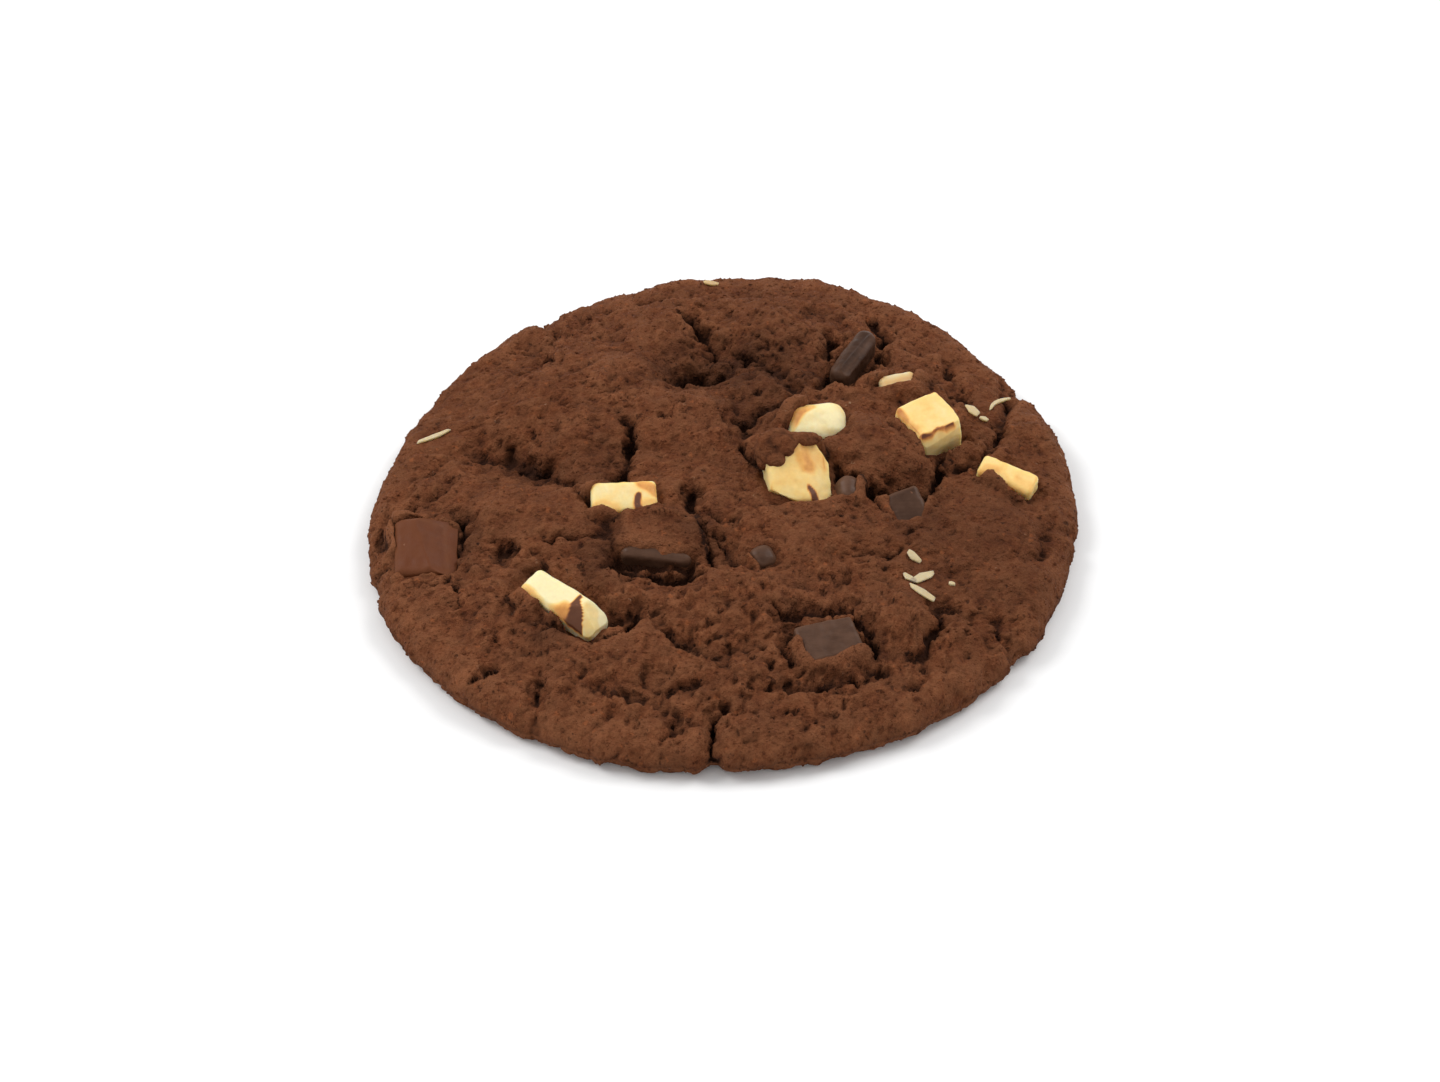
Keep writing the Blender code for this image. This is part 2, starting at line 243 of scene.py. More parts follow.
@dataclass(frozen=True)
class Lobe:
    """A pillow of dough, or a soft hollow where the height is negative."""

    centre: Pair
    half_sizes: Pair
    turn: float
    height: float

    def rise(self, x: Array, y: Array) -> Array:
        """Height of the lobe: a pillow falls as (1 - reach cubed) to the 1.5, a hollow as a bowl.

        The reach is 0 at the middle of the lobe, and 1 on its oval edge and beyond it.

        Args:
            x, y: places across and along, in mm.

        Returns:
            One height in mm for each place, negative in a hollow.
        """
        turn = np.radians(self.turn)
        east, north = x - self.centre[0], y - self.centre[1]
        along = (east * np.cos(turn) + north * np.sin(turn)) / self.half_sizes[0]
        across = (north * np.cos(turn) - east * np.sin(turn)) / self.half_sizes[1]
        reach = np.clip(np.hypot(along, across), 0.0, 1.0)
        if self.height < 0.0:
            return self.height * (1.0 - reach**2) ** 2
        return self.height * (1.0 - reach**3) ** 1.5


@dataclass(frozen=True)
class Crease:
    """A valley along a bowed line, with a crack in it that gapes from 0, closed, to 1."""

    start: Pair
    end: Pair
    bow: float
    half_width: float
    depth: float
    gape: float = 0.5

    def offset(self, x: Array, y: Array) -> Array:
        """Distance from the bowed line in half widths, squared.

        Args:
            x, y: places across and along, in mm.

        Returns:
            0 on the line and 1 half a width away from it, past its ends too.
        """
        start, end = np.array(self.start), np.array(self.end)
        length = np.hypot(*(end - start))
        direction = (end - start) / length
        east, north = x - start[0], y - start[1]
        along = east * direction[0] + north * direction[1]
        across = north * direction[0] - east * direction[1]
        share = np.clip(along / length, 0.0, 1.0)
        sideways = across - 4.0 * self.bow * share * (1.0 - share)
        beyond = along - share * length
        return (sideways**2 + beyond**2) / self.half_width**2


OUTLINE = (
    Wave(1.10, 2, 57.0),
    Wave(0.73, 3, -33.0),
    Wave(0.12, 4, -4.0),
    Wave(0.17, 5, -5.0),
    Wave(0.30, 6, 12.0),
)

NOTCHES = (
    Notch(125.8, 2.1, 1.3),
    Notch(28.0, 1.0, 2.0),
    Notch(-160.0, 0.8, 2.2),
    Notch(-93.0, 0.4, 1.2),
)

LOBES = {
    "back_left": Lobe((-22.5, 19.5), (18.0, 15.0), -18, 2.0),
    "back": Lobe((9.5, 38.5), (14.0, 10.5), 0, 1.2),
    "back_middle": Lobe((-10.0, 38.0), (9.0, 7.0), 20, 0.8),
    "centre_left": Lobe((-6.0, 12.5), (9.0, 8.0), 10, 1.3),
    "ridge": Lobe((23.8, 7.6), (10.5, 8.0), -5, 2.5),
    "white_chunk_mound": Lobe((11.5, 7.0), (8.5, 9.5), 0, 0.9),
    "right": Lobe((37.0, -12.0), (13.0, 14.5), 15, 1.1),
    "right_rim": Lobe((46.0, 12.5), (6.0, 9.0), -15, 1.2),
    "left_low": Lobe((-27.0, -8.0), (11.5, 7.5), -12, 1.2),
    "cap": Lobe((-10.0, -11.8), (7.2, 5.3), 0, 2.6),
    "middle": Lobe((8.5, -12.0), (10.5, 8.0), -10, 0.9),
    "centre_low": Lobe((0.0, -26.5), (12.0, 7.5), 8, 1.1),
    "front_middle": Lobe((-12.5, -34.0), (10.0, 6.0), -12, 0.8),
    "right_low": Lobe((24.6, -27.5), (6.8, 7.2), 0, 1.7),
    "chunk_lip": Lobe((16.5, -37.0), (7.0, 3.2), 22, 1.3),
    "left_rim": Lobe((-45.5, 3.5), (7.0, 8.5), 15, 0.7),
    "front_bump": Lobe((-21.0, -42.5), (5.5, 4.0), 10, 0.8),
    "back_hollow": Lobe((-3.5, 25.5), (11.0, 9.0), 30, -3.0),
    "left_valley": Lobe((-31.0, 3.8), (13.0, 6.0), -30, -2.0),
    "centre_hollow": Lobe((2.0, 3.5), (7.0, 6.5), 0, -0.9),
    "left_pit": Lobe((-32.0, -14.5), (3.2, 2.6), -35, -1.5),
    "chunk_foot": Lobe((-14.6, -28.0), (3.4, 4.2), -30, -2.2),
    "cap_foot": Lobe((-8.5, -21.5), (8.5, 3.4), -8, -1.8),
    "cap_side": Lobe((0.0, -15.5), (4.5, 5.0), 0, -1.4),
    "ridge_foot": Lobe((27.0, -3.0), (9.0, 5.0), 20, -3.0),
    "long_chunk_bed": Lobe((19.5, 27.5), (9.0, 4.6), 60, -1.8),
    "dark_chunk_bed": Lobe((14.5, -32.0), (7.5, 6.2), 16, -1.6),
    "right_pit": Lobe((33.5, -18.4), (3.2, 2.6), 0, -0.9),
}

CREASES = {
    "back_cleft": Crease((-5.1, 40.4), (-2.1, 30.8), 0.1, 1.6, 2.4, 0.3),
    "back_slit": Crease((-7.4, 25.3), (-0.8, 24.9), 0.4, 1.2, 2.6, 1.0),
    "back_run": Crease((-1.3, 32.7), (7.1, 25.2), 0.3, 1.5, 1.6, 0.25),
    "back_run_end": Crease((7.1, 25.2), (11.2, 17.9), 0.6, 1.5, 1.2, 0.35),
    "centre_arm": Crease((11.2, 17.4), (2.1, 12.9), -1.0, 2.0, 2.0, 0.3),
    "centre_drop": Crease((2.1, 12.9), (2.4, 6.0), -0.3, 1.6, 1.6, 0.1),
    "middle_left": Crease((-14.0, 10.7), (-15.4, -0.4), 0.2, 1.4, 2.0, 0.85),
    "lower_valley": Crease((-37.5, 8.2), (-27.5, 3.6), 1.2, 2.4, 1.6, 0.15),
    "lower_valley_end": Crease((-27.5, 3.6), (-18.7, -6.2), 0.7, 1.6, 1.5, 0.1),
    "milk_top": Crease((-40.4, 0.7), (-48.5, -4.8), 1.3, 1.4, 1.1, 0.25),
    "milk_side": Crease((-38.4, -6.0), (-39.2, -16.0), 0.4, 1.4, 1.8, 0.7),
    "left_ridge": Crease((-25.3, -13.6), (-16.4, -12.1), 0.1, 1.1, 1.3, 0.55),
    "cap_front": Crease((-15.6, -17.6), (-4.0, -19.4), -0.4, 1.5, 2.4, 0.9),
    "cap_right": Crease((-5.0, -3.2), (-2.0, -18.9), -0.8, 1.4, 1.9, 0.75),
    "white_chunk_right": Crease((-13.3, -26.0), (-16.3, -31.0), 1.3, 1.5, 1.2, 0.8),
    "front_left": Crease((-26.1, -40.2), (-27.6, -49.8), 0.3, 1.2, 1.5, 0.7),
    "front": Crease((-1.0, -44.0), (-2.9, -56.0), 0.1, 1.2, 2.3, 0.75),
    "front_fold": Crease((-17.9, -40.3), (-3.3, -39.7), -2.9, 1.3, 1.2, 0.2),
    "middle_fold": Crease((-3.6, -35.4), (8.0, -29.7), -2.0, 1.3, 1.0, 0.25),
    "low_fold": Crease((21.1, -36.2), (8.9, -41.0), 1.3, 1.3, 1.3, 0.45),
    "low_fold_end": Crease((8.9, -41.0), (-1.9, -42.4), -0.3, 1.1, 0.9, 0.35),
    "dark_chunk_left": Crease((8.2, -28.0), (11.4, -37.2), -0.3, 1.5, 2.0, 0.15),
    "dark_chunk_back": Crease((6.5, -26.8), (16.8, -26.2), -1.6, 1.5, 1.5, 0.75),
    "dark_chunk_right": Crease((17.8, -26.4), (20.5, -33.4), 0.4, 1.5, 2.0, 0.7),
    "right_crack": Crease((29.9, -26.0), (26.4, -34.4), 0.6, 1.3, 1.8, 0.5),
    "right_crack_end": Crease((26.9, -33.2), (25.6, -39.2), 0.8, 1.1, 0.8, 0.3),
    "rim_right": Crease((37.7, -26.8), (39.4, -32.3), -0.1, 1.1, 1.2, 0.25),
    "rim_right_end": Crease((39.4, -32.3), (44.5, -29.6), -0.2, 1.1, 1.3, 0.25),
    "rim_east": Crease((46.7, -7.6), (44.8, -14.0), 0.1, 1.1, 1.2, 0.3),
    "rim_east_end": Crease((46.7, -7.6), (52.6, -7.2), 0.4, 1.1, 1.2, 0.3),
    "ridge_front": Crease((17.6, 1.0), (32.6, 4.2), -5.6, 1.7, 2.4, 0.8),
    "ridge_front_end": Crease((32.3, 4.0), (38.2, 6.4), -0.6, 1.4, 1.4, 0.3),
    "right_notch": Crease((43.6, 26.0), (39.5, 7.9), 0.6, 1.4, 2.0, 0.3),
    "back_right": Crease((34.5, 29.7), (37.4, 18.6), -0.4, 1.3, 1.2, 0.3),
    "long_chunk_left": Crease((16.6, 33.0), (14.4, 21.0), -0.5, 1.3, 1.8),
    "long_chunk_right": Crease((23.8, 40.7), (24.2, 29.8), 0.0, 1.3, 1.9, 0.85),
    "middle_right": Crease((17.8, -16.6), (28.5, -10.7), -1.4, 1.2, 1.0, 0.3),
    "back_notch": Crease((-28.6, 44.6), (-29.8, 24.4), 2.6, 1.3, 1.2, 0.4),
    "left_notch": Crease((-54.0, -16.5), (-49.0, -15.5), 0.2, 1.1, 1.2, 0.4),
}

# Where the crust is crumblier than elsewhere, or smoother where the number is negative
CRUST = {
    "back_hollow": Lobe((-2.0, 24.5), (15.0, 13.0), 20, 0.5),
    "centre": Lobe((2.0, -8.0), (9.0, 13.0), 0, 0.35),
    "back": Lobe((8.0, 37.0), (24.0, 13.0), 0, 0.55),
    "mound": Lobe((-24.0, 20.0), (17.0, 13.0), -18, 0.3),
    "left": Lobe((-30.0, -18.0), (13.0, 12.0), 0, 0.3),
    "right": Lobe((36.0, -8.0), (17.0, 19.0), 0, -0.55),
    "front_right": Lobe((22.0, -38.0), (14.0, 9.0), 30, -0.55),
    "middle": Lobe((2.0, -30.0), (16.0, 10.0), 0, 0.25),
    "ridge": Lobe((23.0, 7.0), (11.0, 8.0), 0, -0.25),
}

# Where shade is painted on the crust, from 0 down to minus 1
PAINTED_SHADE = {
    "back_hollow": Lobe((1.5, 26.4), (19.5, 10.5), 0, -0.72),
    "centre": Lobe((4.5, 16.0), (9.5, 8.0), 0, -0.52),
    "mound_foot": Lobe((-17.5, 4.0), (6.5, 9.0), 0, -0.42),
    "left_valley": Lobe((-27.6, 3.6), (10.5, 4.6), -24, -0.42),
    "cap_left": Lobe((-18.0, -17.2), (5.4, 11.5), 0, -0.62),
    "milk_side": Lobe((-38.2, -12.0), (5.0, 9.5), 0, -0.62),
    "white_chunk_front": Lobe((-24.8, -30.4), (6.5, 5.0), -40, -0.30),
    "white_chunk_back": Lobe((-28.6, -20.0), (4.5, 3.2), 20, -0.34),
    "cap_right": Lobe((-3.5, -12.3), (7.0, 9.0), 0, -0.45),
    "dark_chunk_side": Lobe((20.6, -34.0), (3.4, 5.0), 0, -0.45),
    "dark_chunk_back": Lobe((8.5, -27.5), (5.0, 3.0), 0, -0.40),
    "front_left_fold": Lobe((-24.8, -32.5), (6.5, 4.5), -30, -0.35),
    "right_valley": Lobe((28.6, -10.0), (6.0, 7.5), 0, -0.28),
    "long_chunk_foot": Lobe((11.3, 23.0), (6.5, 5.5), 0, -0.26),
    "right_rim": Lobe((44.1, -19.3), (5.5, 7.0), 0, -0.18),
    "right": Lobe((37.0, -10.0), (27.0, 36.0), 0, -0.24),
    "front": Lobe((4.0, -44.0), (36.0, 16.0), 0, -0.12),
    "back": Lobe((6.0, 38.0), (30.0, 14.0), 0, -0.12),
}

# Fine cracks, too thin for the solid
HAIRLINES = {
    "white_chunk_left": Crease((2.4, 6.8), (5.3, 2.7), -0.4, 0.8, 1.2),
    "back_edge": Crease((-13.7, 43.6), (-8.1, 45.2), -0.3, 0.6, 0.9),
    "milk_foot": Crease((-42.9, -18.7), (-40.1, -18.5), -0.9, 0.6, 1.1),
    "left_hole": Crease((-50.2, -7.4), (-49.4, -10.4), -0.4, 0.8, 1.2),
    "foot_line": Crease((-12.7, -52.2), (1.2, -53.2), 0.1, 0.5, 0.9),
    "foot_pit": Crease((-17.2, -51.5), (-15.3, -50.7), 0.2, 0.7, 1.3),
    "front_hole": Crease((-1.2, -44.2), (-1.9, -46.8), 0.1, 0.9, 1.6, 0.9),
    "front_small": Crease((-6.8, -45.4), (-9.0, -49.8), 0.2, 0.6, 1.1),
    "middle_valley": Crease((-10.7, -27.0), (-7.3, -31.5), 0.1, 0.8, 0.9),
    "middle_valley_end": Crease((-7.3, -31.5), (-2.9, -35.4), -0.5, 0.8, 0.9),
    "centre_small": Crease((-10.1, 11.9), (-6.8, 15.5), 0.0, 0.6, 0.7),
    "right_of_cap": Crease((-3.3, -8.9), (1.8, -10.8), -0.7, 0.8, 1.1),
    "right_of_cap_low": Crease((-1.4, -13.0), (1.7, -17.8), 0.0, 0.9, 1.3),
    "front_dot": Crease((-35.3, -37.6), (-32.5, -35.5), 0.2, 0.6, 1.2),
    "white_chunk_hollow": Crease((-18.7, -8.1), (-15.5, -12.2), -0.1, 0.9, 1.2),
    "left_low": Crease((-38.9, -15.0), (-37.8, -24.7), 0.0, 0.6, 0.8),
    "white_chunk_top": Crease((-33.0, -12.6), (-25.9, -18.5), 0.3, 0.7, 0.8),
    "back_loop": Crease((-33.5, 33.0), (-27.0, 27.5), 1.6, 0.7, 0.7),
    "back_mouth": Crease((-6.8, 25.6), (-2.6, 25.4), 0.5, 1.7, 3.0, 1.0),
    "back_mouth_right": Crease((-2.4, 25.2), (1.6, 24.8), 0.0, 0.8, 1.2, 0.9),
    "back_gash": Crease((-5.3, 39.8), (-3.6, 35.6), 0.1, 0.9, 1.7, 0.95),
    "valley_hole": Crease((-30.6, 5.6), (-26.8, 4.0), 0.2, 1.2, 1.6, 0.9),
    "back_cleft_low": Crease((-3.4, 31.2), (1.8, 28.0), 0.4, 0.9, 1.2, 0.6),
    "mound_side": Crease((-14.2, 11.2), (-14.6, 2.4), 0.4, 0.9, 1.6, 0.8),
    "ridge_edge": Crease((-46.0, 2.6), (-38.6, 6.4), 0.8, 0.6, 0.6),
}


class Chocolate(Enum):
    """The chocolates, each by the name of its finish."""

    WHITE = "white_chocolate"
    DARK = "dark_chocolate"
    MILK = "milk_chocolate"


@dataclass(frozen=True)
class Cut:
    """A plane that shaves a chunk: its outward direction, and its distance from the chunk's middle.

    What stands further out than reach along direction is pressed back onto the plane.
    """

    direction: Triple
    reach: float


@dataclass(frozen=True)
class Stroke:
    """A ragged stroke over the plan: a lip of dough over a chunk, or a browned spot on one.

    The amount is the lip's thickness in mm, or the strength of the browning from 0 to 1.
    """

    start: Pair
    end: Pair
    radius: float
    amount: float
    swings: tuple[Triple, ...] = ((0.35, 1.5, 91),)

    def reach(self, x: Array, y: Array) -> Array:
        """Distance from the stroke's line over its radius, after noise has shifted the place.

        Args:
            x, y: places across and along, in mm.

        Returns:
            0 on the line and 1 at the stroke's edge.
        """
        place_x, place_y = wander(x, y, self.swings)
        east, north = place_x - self.start[0], place_y - self.start[1]
        span = np.subtract(self.end, self.start)
        share = np.clip((east * span[0] + north * span[1]) / (span @ span), 0.0, 1.0)
        return np.hypot(east - share * span[0], north - share * span[1]) / self.radius


@dataclass(frozen=True)
class Moat:
    """The gap that the dough left round a chunk: its depth and how far out it reaches."""

    depth: float
    width: float


@dataclass(frozen=True)
class Chunk:
    """A piece of chocolate: the block that its solid is, and what wore it to its own shape.

    The warmth is how brown it baked all over, and the dust how grey and dull its surface is, which is dust
    on most chunks and partly painted shade on one, both less than usual where negative. A drape is a lip of
    dough over it, and a stain is a browned spot.
    """

    centre: Triple
    sides: Triple
    rotation: Triple
    rounding: float = 1.0
    cuts: tuple[Cut, ...] = ()
    moat: Moat = Moat(0.7, 0.7)
    warmth: float = 0.0
    dust_and_shade: float = 0.0
    drapes: tuple[Stroke, ...] = ()
    stains: tuple[Stroke, ...] = ()
    roof_share: float = 0.4

    @property
    def half(self) -> Array:
        """Half of each side."""
        return np.array(self.sides) / 2.0

    @property
    def axes(self) -> Array:
        """The block's own axes: turned about x, then y, then z.

        Returns:
            A matrix with one axis in each column.
        """
        turns = np.radians(self.rotation)
        (cx, cy, cz), (sx, sy, sz) = np.cos(turns), np.sin(turns)
        about_x = np.array(((1, 0, 0), (0, cx, -sx), (0, sx, cx)))
        about_y = np.array(((cy, 0, sy), (0, 1, 0), (-sy, 0, cy)))
        about_z = np.array(((cz, -sz, 0), (sz, cz, 0), (0, 0, 1)))
        return about_z @ about_y @ about_x

    def distance(self, points: Array) -> Array:
        """Distance from the block's surface, negative inside it.

        Args:
            points: places in mm, one a row.

        Returns:
            One distance in mm for each place.
        """
        past = np.abs((points - self.centre) @ self.axes) - self.half
        outside = np.linalg.norm(np.maximum(past, 0.0), axis=1)
        return outside + np.minimum(past.max(axis=1), 0.0)

    def roof(self, x: Array, y: Array) -> Array:
        """Height of the lowest of the planes over the block: its upper face and its upward cuts.

        Args:
            x, y: places across and along, in mm.

        Returns:
            One height in mm for each place, held at the block's highest corner.
        """
        height = np.full_like(x, self.centre[2] + np.abs(self.axes[2]) @ self.half)
        for cut in (Cut(tuple(self.axes[:, 2]), self.half[2]), *self.cuts):
            outward = np.array(cut.direction) / np.linalg.norm(cut.direction)
            if outward[2] > self.roof_share:
                beside = outward[0] * (x - self.centre[0]) + outward[1] * (y - self.centre[1])
                height = np.minimum(height, self.centre[2] + (cut.reach - beside) / outward[2])
        return height

    def margin(self, x: Array, y: Array, roof: Array) -> Array:
        """How far each place is inside the edges of the block's roof, seen along the block's axes.

        Args:
            x, y: places across and along, in mm.
            roof: heights of the block's roof there.

        Returns:
            One distance in mm for each place, negative outside the edges.
        """
        local = (np.stack([x, y, roof], axis=1) - self.centre) @ self.axes
        past = np.abs(local[:, :2]) - self.half[:2]
        return -np.linalg.norm(np.maximum(past, 0.0), axis=1) - np.minimum(past.max(axis=1), 0.0)


WHITE_CHUNKS = (
    Chunk(
        (-14.8, -5.6, 9.2), (9.6, 5.0, 4.0), (20, 0, 4), 0.7, warmth=0.13,
        drapes=(
            Stroke((-20.2, -9.5), (-17.0, -9.4), 2.1, 0.4),
            Stroke((-11.0, -8.9), (-8.8, -8.2), 2.1, 0.4),
            Stroke((-20.2, -4.2), (-18.2, -3.2), 0.9, 0.2),
        ),
        stains=(
            Stroke((-12.7, -6.3), (-12.4, -7.8), 0.6, 1.0),
            Stroke((-12.4, -3.9), (-10.2, -5.2), 1.0, 0.58),
            Stroke((-18.6, -3.9), (-12.0, -3.2), 0.4, 0.38),
        ),
    ),
    Chunk(
        (-22.9, -25.6, 7.3), (12.7, 4.7, 5.0), (10, 4, -37), 1.1, warmth=-0.06,
        cuts=(Cut((-0.06, -0.74, 0.67), 2.95), Cut((0.60, -0.35, 0.72), 4.1)),
        moat=Moat(2.3, 1.6),
        drapes=(
            Stroke((-29.6, -24.6), (-23.0, -30.6), 1.5, 0.0),
            Stroke((-23.0, -32.0), (-19.4, -33.0), 1.9, 1.3),
        ),
        stains=(
            Stroke((-25.0, -28.7), (-22.8, -28.4), 1.5, 0.60),
            Stroke((-20.7, -25.9), (-22.6, -29.4), 0.32, 1.0),
            Stroke((-20.6, -26.0), (-20.5, -30.8), 0.30, 1.0),
            Stroke((-21.1, -27.7), (-21.1, -31.4), 0.60, 1.0),
            Stroke((-21.8, -28.9), (-21.8, -31.4), 0.80, 1.0),
            Stroke((-22.7, -29.5), (-22.6, -31.0), 0.65, 1.0),
            Stroke((-19.2, -28.2), (-18.6, -30.6), 1.3, 0.22),
        ),
    ),
    Chunk(
        (10.4, -0.1, 9.5), (9.2, 9.8, 6.0), (35, 3, 8), 0.9, warmth=0.25,
        cuts=(
            Cut((0.45, -0.42, 0.74), 3.1), Cut((-0.40, -0.78, -0.48), 4.35),
            Cut((0.78, -0.46, -0.43), 5.8), Cut((0.81, 0.53, 0.24), 4.6),
        ),
        drapes=(
            Stroke((6.4, 3.4), (9.4, 3.6), 1.7, 0.9), Stroke((9.4, 3.8), (13.6, 4.2), 1.4, 0.8),
        ),
        stains=(
            Stroke((10.6, 1.2), (12.2, -0.8), 1.3, 0.52), Stroke((12.2, -0.8), (12.6, -4.0), 0.9, 0.30),
            Stroke((12.4, 2.0), (14.2, 0.6), 1.2, 0.42), Stroke((12.4, -4.1), (13.1, -5.3), 0.55, 1.0),
        ),
    ),
    Chunk(
        (13.6, 11.0, 9.3), (9.0, 6.8, 5.5), (24, -4, 4), 2.5, warmth=0.02,
        drapes=(
            Stroke((7.8, 10.2), (11.4, 14.0), 1.6, 0.7), Stroke((9.2, 6.2), (16.8, 5.2), 1.5, 0.2),
        ),
        stains=(Stroke((9.4, 9.4), (12.2, 12.4), 0.9, 0.6),),
    ),
    Chunk(
        (30.3, 11.0, 8.9), (7.7, 7.6, 6.6), (6, -2, 34), 0.8, moat=Moat(1.8, 1.4), warmth=0.23,
        cuts=(Cut((0.454, -0.823, 0.34), 4.17), Cut((0.95, 0.31, 0.12), 4.1)),
        drapes=(
            Stroke((32.8, 4.4), (36.2, 7.4), 1.4, -1.6), Stroke((24.6, 10.6), (28.4, 5.2), 1.4, -0.7),
        ),
        stains=(
            Stroke((25.6, 11.3), (26.8, 9.0), 0.7, 0.62), Stroke((29.4, 6.2), (30.4, 6.8), 0.42, 1.0),
            Stroke((32.7, 8.2), (33.7, 8.9), 0.36, 1.0), Stroke((28.5, 5.9), (34.1, 9.1), 0.22, 0.75),
            Stroke((27.6, 8.4), (29.6, 12.6), 1.6, 0.33),
        ),
    ),
    Chunk(
        (41.6, 2.0, 6.8), (8.8, 3.6, 3.6), (14, 6, -27), 0.7, warmth=0.26,
        drapes=(
            Stroke((39.0, 1.1), (41.6, -1.9), 1.6, 0.4), Stroke((37.0, 0.6), (43.0, -3.0), 1.5, -0.1),
        ),
        stains=(Stroke((43.0, 0.4), (44.6, -0.8), 0.9, 0.4),),
    ),
    # This chunk is greyed and darkened by its dust: partly dust on it, partly painted shade
    Chunk(
        (26.2, 22.4, 7.0), (5.8, 3.6, 4.0), (16, 0, 14), 0.9, warmth=0.0, dust_and_shade=0.48,
        drapes=(
            Stroke((22.0, 19.6), (28.8, 20.6), 2.2, 0.3), Stroke((29.1, 20.6), (29.9, 23.8), 1.5, 0.5),
            Stroke((22.4, 22.6), (24.8, 25.0), 1.0, 0.4),
        ),
    ),
)

DARK_CHUNKS = (
    Chunk(
        (19.5, 28.3, 7.5), (11.2, 3.4, 5.0), (0, -2, 62), 1.6, dust_and_shade=-0.25,
        cuts=(Cut((-0.58, 0.25, 0.78), 2.3), Cut((0.57, -0.36, 0.74), 2.1)),
        moat=Moat(1.2, 1.0),
    ),
    Chunk(
        (-9.7, -13.5, 7.5), (10.4, 7.0, 4.6), (10, 2, -8), 1.2, dust_and_shade=0.1,
        moat=Moat(2.6, 1.0),
        drapes=(
            Stroke((-13.8, -12.8), (-5.8, -13.7), 4.0, 1.0),
            Stroke((-13.2, -9.2), (-6.0, -10.0), 3.0, 1.1),
        ),
    ),
    Chunk(
        (14.4, -32.9, 6.0), (8.6, 6.6, 5.4), (6, 0, 18), 0.6, dust_and_shade=0.14,
        moat=Moat(1.1, 0.9),
        drapes=(
            Stroke((9.2, -34.0), (11.2, -37.0), 1.5, 0.5),
            Stroke((10.8, -38.6), (15.4, -37.9), 2.2, 0.1),
            Stroke((15.4, -37.4), (19.4, -35.6), 1.9, 0.4),
        ),
    ),
    Chunk(
        (26.2, -5.0, 6.4), (5.8, 5.6, 5.0), (22, -10, 20), 0.7,
        moat=Moat(0.8, 0.8),
        drapes=(
            Stroke((22.7, -4.0), (24.8, -9.0), 1.1, 0.3), Stroke((30.3, -4.0), (28.2, -9.2), 1.1, 0.3),
        ),
    ),
    Chunk(
        (17.8, -2.6, 8.4), (3.4, 4.6, 4.4), (20, 14, 10), 1.6, dust_and_shade=0.3,
        moat=Moat(0.3, 0.6),
        drapes=(
            Stroke((15.4, -5.8), (19.6, -5.2), 1.4, 0.2), Stroke((19.9, -1.6), (19.5, -5.0), 1.1, 0.2),
        ),
    ),
    Chunk(
        (5.2, -17.2, 8.7), (3.4, 3.4, 3.6), (25, 0, 30), 1.2,
        moat=Moat(0.5, 0.6),
        drapes=(
            Stroke((2.8, -18.4), (4.2, -19.6), 1.0, 0.2), Stroke((4.6, -14.6), (6.8, -15.4), 0.7, 0.2),
        ),
    ),
)

MILK_CHUNKS = (
    Chunk(
        (-43.4, -12.3, 5.7), (9.0, 9.8, 4.6), (18, -8, 0), 1.3,
        cuts=(Cut((0.42, -0.10, 0.90), 1.85),),
        moat=Moat(0.4, 0.8),
        drapes=(
            Stroke((-47.8, -7.0), (-42.6, -6.4), 1.2, 0.1),
            Stroke((-41.2, -6.8), (-39.6, -7.6), 1.0, 0.2),
            Stroke((-48.8, -8.5), (-48.2, -12.5), 1.0, 0.0),
            Stroke((-47.4, -17.4), (-46.2, -18.3), 1.1, 0.0),
            Stroke((-43.4, -18.2), (-42.0, -18.2), 1.0, -0.1),
        ),
    ),
)


@dataclass(frozen=True)
class Sliver:
    """A thin flake of white chocolate lying in the surface, bowed where bend isn't 0."""

    centre: Pair
    length: float
    width: float
    turn: float
    bend: float = 0.0
    toast: float = 0.1


SLIVERS = {
    "rim_line": Sliver((-43.8, 12.2), 6.3, 1.15, 32),
    "rim_arc": Sliver((42.2, 19.8), 6.4, 0.9, 46, 1.2),
    "ridge_speck": Sliver((37.2, 17.1), 2.9, 1.6, -48),
    "ridge_speck_small": Sliver((38.9, 15.4), 1.5, 0.9, -20),
    "cluster_back": Sliver((27.0, -16.6), 3.2, 1.4, -40),
    "cluster_left": Sliver((26.2, -20.7), 2.4, 1.2, -46),
    "cluster_middle": Sliver((28.0, -20.3), 4.0, 2.0, 38),
    "cluster_front": Sliver((27.7, -23.5), 5.0, 1.5, -31),
    "cluster_speck": Sliver((32.2, -21.3), 1.0, 0.6, -10),
    "back_spot": Sliver((-2.3, 50.0), 2.9, 1.3, 6, 0.0, 0.42),
    "ridge_smear": Sliver((29.0, 23.2), 2.2, 0.9, 38),
}


